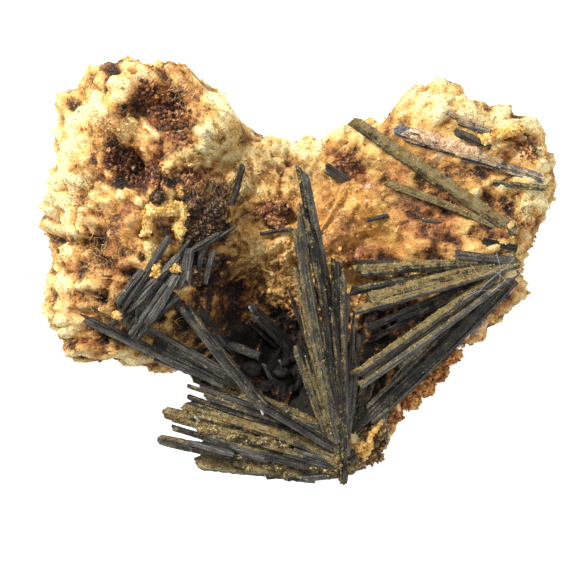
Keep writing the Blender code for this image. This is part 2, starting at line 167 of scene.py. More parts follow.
class Finish:
    """A material whose nodes are added one expression at a time."""

    def __init__(self, name):
        self.material = bpy.data.materials.new(name)
        self.material.use_nodes = True
        self.tree = self.material.node_tree
        self.shader = self.tree.nodes["Principled BSDF"]

    def node(self, kind, settings=None, inputs=None, output=0):
        """Adds a node of a type, sets its settings, joins its inputs and returns one output."""
        made = self.tree.nodes.new("ShaderNode" + kind)
        for key, value in (settings or {}).items():
            if key == "stops":
                self.set_stops(made.color_ramp, value)
            else:
                setattr(made, key, value)
        for key, value in (inputs or {}).items():
            self.feed(made.inputs[key], value)
        return Value(self, made.outputs[output])

    def set_stops(self, ramp, stops):
        """Gives a ramp its stops: each a place from 0 to 1 and a colour."""
        while len(ramp.elements) < len(stops):
            ramp.elements.new(1.0)
        for element, (place, *colour) in zip(ramp.elements, stops):
            element.position = place
            element.color = (*colour, 1.0)

    def feed(self, socket, value):
        if isinstance(value, Value):
            self.tree.links.new(value.socket, socket)
        else:
            socket.default_value = value

    def place(self):
        """Object coordinates in millimetres."""
        spot = self.node("TexCoord", output="Object")
        return self.node("VectorMath", {"operation": "SCALE"}, {0: spot, "Scale": 1000.0})

    def attribute(self, name):
        return self.node("Attribute", {"attribute_name": name}, output="Fac")

    def noise(self, spot, size, detail, rough):
        """Noise from 0 to 1 whose features are about size across."""
        return self.node("TexNoise", {"noise_dimensions": "3D"},
                         {"Vector": spot, "Scale": 1.0 / size, "Detail": detail,
                          "Roughness": rough})

    def warped(self, spot, size, reach):
        """The place moved by up to about reach in a direction that changes over size."""
        push = self.node("TexNoise", {"noise_dimensions": "3D"},
                         {"Vector": spot, "Scale": 1.0 / size, "Detail": 2.0}, "Color")
        push = self.node("VectorMath", {"operation": "SUBTRACT"}, {0: push, 1: (0.5, 0.5, 0.5)})
        push = self.node("VectorMath", {"operation": "SCALE"}, {0: push, "Scale": 4.0 * reach})
        return self.node("VectorMath", {"operation": "ADD"}, {0: spot, 1: push})

    def cells(self, spot, size):
        """The distance to the heart of the nearest of cells about that size."""
        return self.node("TexVoronoi", {}, {"Vector": spot, "Scale": 1.0 / size}, "Distance")

    def mix(self, share, first, second, blend="MIX"):
        """The first colour where share is 0 and the second where it is 1."""
        colour = {6: self.colour(first), 7: self.colour(second), 0: share}
        return self.node("Mix", {"data_type": "RGBA", "blend_type": blend}, colour, 2)

    def colour(self, value):
        return value if isinstance(value, Value) else (*value, 1.0)

    def bump(self, height, strength, distance, under=None):
        inputs = {"Height": height, "Strength": strength, "Distance": distance}
        if under is not None:
            inputs["Normal"] = under
        return self.node("Bump", {}, inputs)

    def set(self, **sockets):
        """Sets or joins the shader's sockets; an underscore stands for a space."""
        for name, value in sockets.items():
            self.feed(self.shader.inputs[name.replace("_", " ")], value)
        return self.material


# %% Light table
TABLE_HALF, TABLE_DROP = 1.5, 0.0002
table_mesh = bpy.data.meshes.new("light_table")
table_mesh.from_pydata([(TABLE_HALF * across, TABLE_HALF * up, -TABLE_DROP)
                        for across, up in ((-1, -1), (1, -1), (1, 1), (-1, 1))],
                       [], [(0, 1, 2, 3)])
table_mesh.materials.append(Finish("light_table").set(
    Base_Color=(0.9, 0.9, 0.9, 1.0), Roughness=0.8, Emission_Color=(1.0, 1.0, 1.0, 1.0),
    Emission_Strength=1.0))
light_table = bpy.data.objects.new("light_table", table_mesh)
bpy.context.scene.collection.objects.link(light_table)
print("light table:", 2 * TABLE_HALF, "m wide")

# %% [markdown]
# Closed surfaces from grids
#
# Every new piece is a grid of points: rows along it and columns around it, with a single point at
# each end. `grid_faces` knits such a grid, and `make_piece` stacks many of them in one mesh with
# their attributes, so that a crystal of a few hundred faces costs no loop over its vertices.


# %% Knit grids
def grid_faces(rows, columns):
    """Faces of a closed grid: a fan on each end point and quads between the rings."""
    ring = np.arange(columns)
    onward = np.roll(ring, -1)
    base = 1 + columns * np.arange(rows - 1)[:, None]
    quads = np.stack((base + ring, base + onward, base + columns + onward,
                      base + columns + ring), axis=-1).reshape(-1, 4)
    last = 1 + columns * (rows - 1)
    end = np.full(columns, last + columns)
    start_fan = np.stack((np.zeros(columns, int), 1 + onward, 1 + ring), axis=-1)
    end_fan = np.stack((end, last + ring, last + onward), axis=-1)
    return quads, np.concatenate((start_fan, end_fan))


def make_piece(name, parts, finish, smooth=False):
    """One object from parts: each has points in mm, quads, triangles and point attributes."""
    points, quads, fans, count = [], [], [], 0
    for part in parts:
        points.append(part["points"])
        quads.append(part["quads"] + count)
        fans.append(part["fans"] + count)
        count += len(part["points"])
    points, quads, fans = map(np.concatenate, (points, quads, fans))
    mesh = bpy.data.meshes.new(name)
    mesh.vertices.add(count)
    mesh.vertices.foreach_set("co", ((points + SHIFT) * MM).astype(np.float32).ravel())
    corners = np.concatenate((quads.ravel(), fans.ravel()))
    sizes = np.concatenate((np.full(len(quads), 4), np.full(len(fans), 3)))
    mesh.loops.add(len(corners))
    mesh.loops.foreach_set("vertex_index", corners.astype(np.int32))
    mesh.polygons.add(len(sizes))
    mesh.polygons.foreach_set("loop_start", (np.cumsum(sizes) - sizes).astype(np.int32))
    mesh.polygons.foreach_set("use_smooth", np.full(len(sizes), smooth))
    mesh.update(calc_edges=True)
    for key in parts[0]["marks"]:
        values = np.concatenate([part["marks"][key] for part in parts])
        mesh.attributes.new(key, "FLOAT", "POINT").data.foreach_set(
            "value", values.astype(np.float32))
    if "along" in parts[0]:
        mapped = np.concatenate([part["along"] for part in parts])[corners]
        mesh.uv_layers.new(name="grain").data.foreach_set(
            "uv", mapped.astype(np.float32).ravel())
    mesh.validate()
    mesh.materials.append(finish)
    thing = bpy.data.objects.new(name, mesh)
    bpy.context.scene.collection.objects.link(thing)
    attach(thing, "root")
    print(name, "has", int((sizes - 2).sum()), "triangles")
    return thing


# %% [markdown]
# The rock's form
#
# The rock is one ball, pressed into a rounded box, then out to its plan and up to its spot heights,
# exactly as its solid was made, so the two share one shape. Plates break it, pits open it, and then
# finer plates and lumps, too small for the solid, roughen it down to half a millimetre.

# %% Rock values
ROCK_MIDDLE = np.array((0.8, 1.6))
# The corners of its plan, each across and up, in millimetres like every place below.
ROCK_OUTLINE = table("""
    2.8 29; 5.8 27.6; 10.8 30.6; 17.8 31; 21.8 36.2; 23.8 37.4; 28.8 36.6; 34.8 34.6; 40.8 32.6
    45.8 30.6; 48.6 27.6; 51 21.6; 52 16.6; 50.6 11.6; 48.6 7.6; 46.4 2.2; 43.8 -3.4; 40.8 -7.4
    37.8 -11.4; 33.8 -15.4; 31.2 -17.4; 28.4 -21; 25.8 -23.8; 21.8 -27; 18.8 -28.6; 15.2 -31.4
    10.8 -36; 5.8 -35.8; 0.8 -32; -5.2 -28.4; -12.2 -25.4; -18.2 -23; -25.2 -20.4; -29.6 -18.8
    -33.4 -18.6; -36.8 -17.4; -40.6 -18.2; -44 -17.2; -46.8 -15; -47.8 -11.4; -48.4 -7.4
    -48.8 -1.4; -49 4.6; -49.2 14.6; -49 20.6; -47.2 28.6; -46 34.6; -42.2 37.6; -38.6 41
    -30.4 42.2; -26.2 43; -22.2 42.2; -19.8 39.6; -14.2 35.6; -13.2 33.6; -11.2 31; -6.8 29
    -1.2 28
""")
# Spots across, up and high.
ROCK_SPOTS = table("""
    # left lobe, its rough hollow at the back and its rim
    -33.2 14.6 33; -26.2 32.6 24; -26.2 40.6 27; -17.2 28.6 29; -33.2 21.6 27; -47.2 14.6 25
    -47.2 -1.4 24; -39.2 28.6 30; -42 36 27; -39.2 -3.4 29; -39.2 -15.4 20; -29.2 -15.4 18
    -27.2 -3.4 27; -26 6 28.5; -22.6 1.6 26.5; -22.4 -6 21.5
    # dark crust on the lobe's inner slope, and the saddle between the lobes
    -17.2 11.6 27; -16.6 1.6 19; -10.2 7 17.5; -7.2 24.6 22; 0.8 22.6 20; 5.8 8.8 22; 10.8 24.6 23
    -10.6 17.6 21
    # hollow in front of the saddle
    -11.2 -5.4 10; -5.2 -15.4 6; 0.8 -25.4 7; 0.8 -3.4 13; 12.8 -5.4 12; -9.2 -25.4 9
    -18.2 -22.4 11
    # right lobe and the slope in front of it
    26.8 28.6 27; 40.8 30.6 26.5; 34.8 14.6 24.5; 26.8 7.6 22; 14.8 4.6 19.5; 46.8 14.6 25.5
    43.8 2.2 27; 20.8 -11.4 12; 46 6.6 27; 40.4 21.4 27; 30.8 -11.4 13; 26.8 -21.4 13; 19 14 23.5
    # ledge that carries the foot of the main spray
    8.4 -34 24; 13.4 -28.4 15; 3.4 -29.4 15
""")
# Pits across and up, then their radius and their depth.
ROCK_PITS = table("""
    # rusty vugs of the left lobe and the crack behind the dark crust
    -28.6 35.4 3.6 5; -24.4 31.4 2.6 4.5; -32.4 32.6 1.5 4; -34.4 22.6 2.8 4.5; -31.2 19.4 2 4
    -27.8 23.2 1.2 2.5; -21.6 20 1.5 3; -17.6 19.2 1.4 2.5; -44.2 26 2 2.5
    # holes in the lobe's outer slope and above the front hollow
    -38 -5.4 1.8 3.5; -42.2 -8 1.6 2.5; -43.4 6 2.2 2.5; -2.6 10.2 1.3 2.5; -9.4 -1 3.4 3.5
    -4.6 -8.6 3 2.5
    # right lobe
    45.6 25.4 1.8 3; 29 20.4 2.2 2.5; 12 20 2.4 2.5; 36.6 12.8 2 2; 25.4 -12.6 2.6 3
""")
SPOT_REACH = 3.0
PIT_EDGE = 4
RIM_SHARE = 0.52
SHOULDER = 5
WALL_STRETCH = 2.75
BASE_CUT = 1.25
# Relief of the solid: size across, then how far it stands out.
PLATES = ((15.0, 2.0), (7.0, 1.4))
PLATE_EDGE = 14.0
PLATE_TILT = 1.8
PLATE_JITTER = 0.4
PLATE_SEEDS = 10
TOP_SHARE = 0.45
WALL_INSET = 1.0
LUMPS = ((4.6, 0.7),)
RELIEF_FADE = 4.0
# Relief finer than the solid's, in the same form.
FINE_PLATES = ((3.4, 0.80), (1.7, 0.42))
FINE_LUMPS = ((2.1, 0.40), (1.05, 0.34))
POCKS = ((3.0, 2.6), (1.5, 2.2))
POCK_LEVEL = 0.22
PIT_WARP = ((3.6, 1.6), (1.5, 0.8))
CAVITY_REACH = (5, 2)
CALM_MIDDLE, CALM_SIZE, CALM_SHARE = np.array((17.0, 12.0)), 21.0, 0.40
RIM_TURN = 0.25
OUTLINE_LEAN, LEAN_STEP = 1.5, 0.02
ROCK_COLUMNS = 620
TOP_ROWS, WALL_ROWS, UNDER_ROWS = 84, 48, 18
TOP_LATITUDE, UNDER_LATITUDE = math.radians(24.0), math.radians(20.0)
print("outline corners:", len(ROCK_OUTLINE), "spot heights:", len(ROCK_SPOTS), "pits:", len(ROCK_PITS))


# %% Rock formula
def corner_values(cells, seed):
    """A repeatable number from -1 to 1 for each whole-numbered lattice corner."""
    mixed = cells[:, 0] * 73856093 ^ cells[:, 1] * 19349663 ^ cells[:, 2] * 83492791
    mixed = (mixed + seed * 668265263) & 0xFFFFFFFF
    mixed = ((mixed ^ (mixed >> 13)) * 1274126177) & 0xFFFFFFFF
    return (mixed ^ (mixed >> 16)) / 0x7FFFFFFF - 1.0


def lattice_noise(points, seed):
    """Smooth noise: lattice corner values blended by a cubic step along each axis."""
    low = np.floor(points).astype(np.int64)
    part = points - low
    blend = part * part * (3.0 - 2.0 * part)
    total = np.zeros(len(points))
    for corner in np.ndindex(2, 2, 2):
        offset = np.array(corner)
        weight = np.prod(np.where(offset, blend, 1.0 - blend), axis=1)
        total += weight * corner_values(low + offset, seed)
    return total


def plates(points, seed):
    """Broken plates, each with its own level and tilt about a point in its lattice cell.

    A place takes the mean of the plates about it, weighted by e to the power of minus
    PLATE_EDGE times the distance to each plate's point, so the nearest one rules.
    """
    low = np.floor(points).astype(np.int64)
    total = np.zeros(len(points))
    weights = np.zeros(len(points))
    for corner in np.ndindex(3, 3, 3):
        cell = low + np.array(corner) - 1
        jitter = np.stack([corner_values(cell, seed + axis) for axis in (1, 2, 3)], axis=1)
        tilt = np.stack([corner_values(cell, seed + axis) for axis in (4, 5, 6)], axis=1)
        away = points - (cell + 0.5 + PLATE_JITTER * jitter)
        weight = np.exp(-PLATE_EDGE * np.linalg.norm(away, axis=1))
        total += weight * (corner_values(cell, seed) + PLATE_TILT * np.sum(away * tilt, axis=1))
        weights += weight
    return total / weights


def spot_height(x, y):
    """Height of the rock's upper side, a mean of the spot heights that favours the nearest."""
    apart = (x[:, None] - ROCK_SPOTS[:, 0]) ** 2 + (y[:, None] - ROCK_SPOTS[:, 1]) ** 2
    weight = (apart + SPOT_REACH ** 2) ** -2.0
    return weight @ ROCK_SPOTS[:, 2] / weight.sum(axis=1)


def pit_depth(x, y):
    """Depth of the pits: each is a flat-bottomed well whose sides fall off as 1 / (1 + d**4)."""
    apart = np.hypot(x[:, None] - ROCK_PITS[:, 0], y[:, None] - ROCK_PITS[:, 1])
    return (ROCK_PITS[:, 3] / (1.0 + (apart / ROCK_PITS[:, 2]) ** PIT_EDGE)).sum(axis=1)


def rock_reach(angle):
    """Distance from the rock's middle to its widest contour in a direction."""
    corners = ROCK_OUTLINE - ROCK_MIDDLE
    bearings = np.arctan2(corners[:, 1], corners[:, 0])
    order = np.argsort(bearings)
    lengths = np.hypot(corners[:, 0], corners[:, 1])
    return np.interp(angle, bearings[order], lengths[order], period=2 * math.pi)


def warp(places, scales):
    """A push for each place: on each axis, the sum of noises, each with its size and reach."""
    return np.stack([sum(reach * lattice_noise(places / size, 20 * axis + step)
                         for step, (size, reach) in enumerate(scales))
                     for axis in (1, 2, 3)], axis=1)


def calm_mark(places):
    """1 about CALM_MIDDLE, falling off as e**-(d / CALM_SIZE)**4: less broken, cleaner rock."""
    return np.exp(-(np.hypot(*(places[:, :2] - CALM_MIDDLE).T) / CALM_SIZE) ** 4)


def rock_surface(ball):
    """The rock's places, its outward directions and its relief, from the ball's points.

    A point's bearing picks the reach. With s = its distance from the ball's axis and r = its
    rise times WALL_STRETCH, both are divided by (s**SHOULDER + r**SHOULDER)**(1 / SHOULDER):
    s then says how far out the point lies, and r moves it between the rim and the top or the
    flat underside. Plates and lumps push it in or out along the rounded box's normal, less so
    where the outline runs nearly along the bearing and the grid is stretched.
    """
    angle = np.arctan2(ball[:, 1], ball[:, 0])
    side = np.hypot(ball[:, 0], ball[:, 1])
    rise = WALL_STRETCH * ball[:, 2]
    size = (side ** SHOULDER + np.abs(rise) ** SHOULDER) ** (1 / SHOULDER)
    side, rise = side / size, rise / size
    outward = np.stack((np.cos(angle), np.sin(angle)), axis=1)
    reach = rock_reach(angle)
    plan = ROCK_MIDDLE + outward * (reach * side)[:, None]
    edge = ROCK_MIDDLE + outward * reach[:, None]
    ragged = plan + warp(np.column_stack((plan, np.zeros(len(plan)))), PIT_WARP)[:, :2]
    top = spot_height(plan[:, 0], plan[:, 1]) - pit_depth(ragged[:, 0], ragged[:, 1])
    rim = RIM_SHARE * spot_height(edge[:, 0], edge[:, 1])
    height = np.where(rise > 0, rim + (top - rim) * rise, rim * (1 + BASE_CUT * rise))
    place = np.column_stack((plan, height))
    flat = side ** (SHOULDER - 1)
    steep = np.sign(rise) * np.abs(rise) ** (SHOULDER - 1)
    normal = np.column_stack((outward * flat[:, None], steep))
    normal /= np.linalg.norm(normal, axis=1)[:, None]
    broken = sum(stands * plates(place / wide, PLATE_SEEDS * seed)
                 for seed, (wide, stands) in enumerate(PLATES))
    lumpy = sum(stands * lattice_noise(place / wide, seed)
                for seed, (wide, stands) in enumerate(LUMPS))
    facing_up = np.clip(normal[:, 2], 0.0, 1.0)
    bump = broken * (1 - (1 - TOP_SHARE) * facing_up) + lumpy - WALL_INSET * (1 - facing_up)
    fade = np.clip(height / RELIEF_FADE, 0.0, 1.0)
    change = rock_reach(angle + LEAN_STEP) - rock_reach(angle - LEAN_STEP)
    lean = np.abs(change) / (2 * LEAN_STEP * reach)
    even = 1.0 / (1.0 + (lean / OUTLINE_LEAN) ** 2)
    place += normal * (bump * fade * (0.3 + 0.7 * even))[:, None]
    fine = sum(stands * plates(place / wide, 40 + PLATE_SEEDS * seed)
               for seed, (wide, stands) in enumerate(FINE_PLATES))
    fine += sum(stands * lattice_noise(place / wide, 70 + seed)
                for seed, (wide, stands) in enumerate(FINE_LUMPS))
    porous = 0.35 + np.maximum(spot_mark("rust", place), spot_mark("dark", place))
    fine += 0.5 * (porous - 0.35) * lattice_noise(place / 0.9, 75)
    pocks = sum(deep * np.clip(lattice_noise(place / wide, 80 + seed) - POCK_LEVEL, 0.0, 0.5)
                for seed, (wide, deep) in enumerate(POCKS))
    waxy = np.clip(spot_mark("amber", place), 0.0, 1.0)
    calm = CALM_SHARE * calm_mark(place)
    fine = (fine - pocks * porous) * (1.0 - 0.50 * waxy) * (1.0 - calm) * even
    place += normal * (fine * fade)[:, None]
    place[:, 2] = np.maximum(place[:, 2], 0.0)
    return place, normal, bump, fine


# %% [markdown]
# Where the rock is stained, and where shade and rim glow are painted
#
# The rock is pale quartz and clay with iron stains. Each row below is a spot: across, up, size and
# strength. The dark spots are partly dark stain and crust and partly painted shade, in the front
# hollow, under the right spray and between the left cluster's blades; the pale spots are partly pale
# crust and partly a painted glow along the outer rims. A mark on the mesh is the strongest of its
# spots' bell curves, read at a place that noise has pushed about, so that no spot stays round. The
# same marks also shape the relief: rusty places are eaten into pocks, and the honey coloured ones are
# smooth and waxy.

# %% Stains, painted shade and painted rim glow
STAINS_AND_PAINTED_LIGHT = {name: table(rows) for name, rows in {
    # Dark stain and crust, and painted shade: the spots in the front hollow, under the right spray and
    # between the left cluster's blades also stand in for shadow.
    "dark": """
        -29.6 36.6 1.8 0.7; -27.2 34.4 2.6 0.9; -24.4 32.6 2.6 1; -24.4 28.6 2.4 0.9
        -32 32.6 1.4 1.1; -35 23.4 2.4 0.9; -32.6 20.6 2.8 1; -31 22.6 1.6 1.3; -34.2 18.2 2 0.9
        -22.5 19.6 1.8 0.9; -18 18.8 1.8 0.9; -25.6 18 1.6 0.8; -27.6 15 1.8 1.1
        -20.4 13.6 2.4 1.2; -17.2 10.6 3.4 1.3; -19.6 7.4 2.6 1.2; -15 13.6 2.2 1.1
        -22.6 5.6 2.4 0.8; -40 4.6 2.6 0.55; -36.4 2.6 2.6 0.55; -42.4 7.4 1.8 0.6
        -38.6 -4.4 1.5 1.1; -41.8 -15 2.4 0.6; -37.4 -13 2 0.5; -33 -6 2.6 0.6; -27 -9.6 3 0.8
        -20.6 -8.6 3.6 0.9; -17.6 -1.4 3.2 1; -12.4 -2.4 3 0.9; -14.6 3 2.4 0.8; -13 -8.6 3.4 0.9
        -6.6 -4.6 2.2 0.7; -15.4 -14.4 4.4 1.1; -7 -12.6 3.6 1; -3 -19 5.4 1.5; 0.6 -26 5.6 1.5
        2.4 -12 4 1.1; 5 -5 2.6 0.8; -10 -19 4 1.2; 13 -14 4.2 1.2; 18 -17 4 1.1; 15 -24 4 1.1
        2 -22 6 1.7; -1 -29 5 1.6; -42 0 2 0.6; -2.6 -8.6 3.6 1.2; -5 -25.6 4.6 1.3
        -1 -13.6 3.6 1.2; -4 -16 6 1.6; 1 -20 8 1.9; 14 -20 6 1.5; 17 -12 5 1.3; -10 -14 5 1.3
        31 12.6 2.6 0.5; 24 12 2.2 0.5; 38.6 8.6 2.4 0.7; 22 -11 4.4 1; 29 -8 4 0.9; 20 -5.6 4 0.8
        36 -4 3.6 0.9; 34.6 -9.6 2.6 0.9; 41.6 -3.6 2 0.8; -4 10.8 1.6 1.2; -1.6 12.6 1.4 0.8
        12.4 21 1.6 0.7; 9 23.4 1.4 0.7; 46 24.8 1.4 1; 43.4 26.6 1.2 0.9; 41.6 12.4 2 0.7
        28.6 15.4 2.4 0.6; 35.4 20 1.8 0.6; 46 10 1.6 0.6; 17.4 2.4 2.6 0.6; 25.5 10 6 0.36
        29 4 7 0.26; 22 17 5 0.3; 33 18 5 0.26; 10 9 7 0.18; -29.4 -3 3.6 0.9; -31.6 -7.4 3 0.8
        -26 1.4 2.6 0.8; 0 18 6 0.12; -26 8.4 2 0.9; -30.8 4 1.8 0.5; -29.4 -4.6 3.6 1.3
        -32 -8.4 3 1.3; -26.8 -0.6 2.4 1; -21.4 1.2 2.8 1.1""",
    "rust": """
        -28.6 36.4 4.6 1; -24.4 32.4 4.4 1; -24 27 3.4 0.9; -24.6 41.4 2.4 0.9; -34.4 21 4.8 1
        -30.6 24.6 3 0.7; -27.6 18.4 3 0.8; -20 19.4 3.2 0.8; -23 3.8 1.9 1; -16 5 3 0.8
        -39.4 5 4.4 0.8; -33 9.6 2.6 0.5; -36 -1.6 4.6 0.9; -41 -13.8 4.6 0.8; -41.6 11 3.4 0.8
        -43 2 3.4 0.7; -43.6 -6 3 0.7; -37 28 3.4 0.8; 45.6 -0.6 2.6 0.8; 41 -6 2.6 0.9
        -30 -9 4 0.6; -13 -4 5 0.9; -8 0.4 3.4 0.6; -4.2 12.4 3 1; -6.6 14.6 2 0.6
        9.6 20.4 2.8 0.9; 13.4 18.6 2.8 0.8; 7.6 25 2.2 0.7; 19 27 2.4 0.8; 12.6 3 2.6 0.8
        18.4 2.8 2.8 0.7; 45 24.8 3.2 0.9; 40.4 27.4 2.4 0.5; 30 16.6 4 0.6; 38 13 3.6 0.6
        24 22 3 0.5; 47 8.6 2.8 0.7; 24 -24.2 4 0.8; 19 -29.4 3 0.7; 30 -14 3 0.9
        -44.6 18 2.6 0.4; -36 30 3 0.6; -18 33 2.6 0.4; -30 41 2.4 0.5; 25 5 2.4 0.5""",
    "amber": """
        -31.6 10.6 3 0.8; -27 11.6 2.4 1; -23.8 12 1.6 1; -26.6 8 2.2 0.8; 7.8 11.6 3.8 1.1
        11 8.4 4.2 1.1; 15.4 10 3.6 0.9; 5.8 6 2.6 0.8; 14 15.6 2.6 0.8; -9 7.4 2.4 0.9
        -28 1.4 1.6 1; -24 1.4 1.5 0.9; 22.8 -22.4 3.6 0.9; 19.4 -26.6 2.6 0.8; 16.4 18 1.8 0.7
        6.8 27.4 2 0.7; 26 2 2.4 0.5; 40 -6 3 0.6; -20 16.4 2 0.7; 31 -16 3 0.9; 18 31 2 0.6
        36.6 -10.6 2.6 0.9; 43 -3 2.4 0.8; 26.6 -20.6 3 0.9; -36 12 2.4 0.5; 38 28 2.4 0.6
        -38.4 14 3 0.8; 7 10.6 6.4 1.05; 13 8.6 5.4 1.05; 5 15.6 3.4 0.7; 24.6 -22 4.6 1.3
        28.6 -17.6 3.6 1.2; 19.6 -27.4 4 1.2; -41 -9.6 3 0.7; -36.6 -9 3.4 0.7; -40.6 24.6 3.4 0.7
        -30 -5 3.4 0.7; -22.4 36 3.4 0.7; -36.4 32.6 3 0.7; 33 26.4 2.6 0.7; 46.6 21 2.6 0.8
        22.6 24.6 3 0.7; -34 8 3 0.8; 20 6 3 0.7; 2 8.6 2 0.8""",
    # Pale crust, and a painted rim glow: the strong spots along the outer rims make the edges burn out
    # towards white.
    "pale": """
        -15.2 25.6 5 0.8; -12 21.6 3 0.7; 3 25.6 3.6 0.9; 9.4 14.6 1.8 0.8; 22.8 5.6 2.6 0.8
        31 4.8 3 0.8; -8.2 4.6 3.4 1; 0 3 2.6 0.6; -47 8 2.6 0.6; -47.4 -2 2.6 0.6
        28 24.6 2.4 0.7; -27.6 25.6 2.2 0.7; -31.6 29.4 2.2 0.6; -36.6 35 3 0.5; -46 24 5 1
        -42 33 4.4 1; -46.6 12 3.6 0.8; -40 -9 3 0.5; -17 35 3 0.7; 24 31 3.4 0.8; 31 33.6 3.4 0.9
        40.6 30.6 3.4 1; 49 18 3.6 1.1; -30 -17 2.4 0.7; 0.6 17 2.6 0.6; 35 9 2.6 0.5
        20 9 2.4 0.4; -7 17.6 2.4 0.6; 44.6 -2 2.6 0.8; -20.6 -20.6 2.4 0.6; -33 12 4.4 0.7
        -13 3.8 2.6 0.9; 44 27.6 4 1.3; -34 36 3 1; 42 32 4 1.2; -47 18 4 1; 25 29 3.4 0.9
        -16 26 6 1.1""",
    "pink": """
        26.2 9.8 5 1.1; 28 22.6 3 0.9; 22 12 3 0.9; 21 19.6 2.8 0.8; 9.4 22 3 0.7; -27 24.6 3 0.7
        33 12 3.4 0.7; 38 24 3 0.5; -20 -2 3 0.5; 16 4 2.4 0.5; 40 10 3 0.5; -31.4 13.8 2.2 0.6
        -33 1 3 0.6; -33.4 11 4 0.8; 30 6 5 0.6; -28 -3 3.4 0.6; -28.6 30 2 0.6""",
    "moss": """
        -14 23 5.6 0.3; -5 23.6 4.4 0.9; 0.6 21 3.4 0.8; -9.6 18.6 3 0.7; 14 21.6 2 0.5
        -42 20 3 0.6; -20 30 4 0.5; -36 -12 4 0.4; -24.6 24 2 0.8; 22 16.4 3 0.6; 35 28 3 0.6
        -20 15.6 2 0.5""",
}.items()}
SPOT_WARP = ((5.0, 1.7), (1.9, 0.9))
MARKS_START, MARKS_RISE = 0.5, 3.0


def spot_mark(name, places):
    """The strongest of a mark's bell curves, strength * e**-(d / size)**2, at pushed places."""
    spots = STAINS_AND_PAINTED_LIGHT[name]
    pushed = places + warp(places, SPOT_WARP)
    apart = np.hypot(pushed[:, :1] - spots[:, 0], pushed[:, 1:2] - spots[:, 1])
    return (spots[:, 3] * np.exp(-(apart / spots[:, 2]) ** 2)).max(axis=1)


print("stain spots:", sum(len(spots) for spots in STAINS_AND_PAINTED_LIGHT.values()))


# %% Rock grid
latitudes = np.concatenate((
    np.linspace(math.pi / 2, TOP_LATITUDE, TOP_ROWS, endpoint=False)[1:],
    np.linspace(TOP_LATITUDE, -UNDER_LATITUDE, WALL_ROWS, endpoint=False),
    np.linspace(-UNDER_LATITUDE, -math.pi / 2, UNDER_ROWS, endpoint=False),
))[::-1]
bearings = np.linspace(0.0, 2 * math.pi, ROCK_COLUMNS, endpoint=False)
rings = np.stack(np.broadcast_arrays(
    np.cos(latitudes)[:, None] * np.cos(bearings),
    np.cos(latitudes)[:, None] * np.sin(bearings),
    np.sin(latitudes)[:, None]), axis=-1).reshape(-1, 3)
ball = np.concatenate(([(0.0, 0.0, -1.0)], rings, [(0.0, 0.0, 1.0)]))
rock_places, rock_normals, rock_bump, rock_fine = rock_surface(ball)
rock_quads, rock_fans = grid_faces(len(latitudes), ROCK_COLUMNS)
print("rock points:", len(rock_places), "highest", round(rock_places[:, 2].max(), 1), "mm")


# %% Rock marks
def cavity(relief):
    """How far each grid point's relief lies under the mean of the points about it."""
    field = relief[1:-1].reshape(-1, ROCK_COLUMNS)
    mean = field
    for axis, reach in enumerate(CAVITY_REACH[::-1]):
        pad = [(reach, reach), (0, 0)] if axis == 0 else [(0, 0), (reach, reach)]
        mode = "edge" if axis == 0 else "wrap"
        sums = np.cumsum(np.pad(mean, pad, mode=mode), axis=axis)
        width = 2 * reach
        ahead = np.take(sums, np.arange(width, sums.shape[axis]), axis=axis)
        behind = np.take(sums, np.arange(0, sums.shape[axis] - width), axis=axis)
        mean = (ahead - behind) / width
    under = (mean - field).ravel()
    return np.concatenate(([0.0], under, [0.0]))


def rock_marks(places, normals, relief):
    """Stains and painted light by place; by relief, hollow for painted shade where the rock dips and
    rim for a painted glow where its top turns down.
    """
    above = np.clip((places[:, 2] - MARKS_START) / MARKS_RISE, 0.0, 1.0)
    marks = {name: spot_mark(name, places) * above for name in STAINS_AND_PAINTED_LIGHT}
    # hollow: painted shade, above 0 where the relief dips below the points about it (darker) and below
    # 0 where it bulges (lighter)
    marks["hollow"] = np.clip(cavity(relief), -1.0, 1.0)
    facing_up = np.clip(normals[:, 2], 0.0, 1.0)
    # rim: a painted rim glow where the top turns down towards the wall
    marks["rim"] = (1.0 - facing_up ** 0.5) * np.clip(facing_up / RIM_TURN, 0.0, 1.0)
    marks["wall"] = np.clip(1.0 - facing_up / RIM_TURN, 0.0, 1.0)
    marks["calm"] = calm_mark(places)
    marks["shade"] = np.zeros(len(places))
    return marks


rock_mark_values = rock_marks(rock_places, rock_normals, rock_bump + rock_fine)
print("hollow mark:", np.round(np.percentile(rock_mark_values["hollow"], (1, 25, 75, 99)), 2))
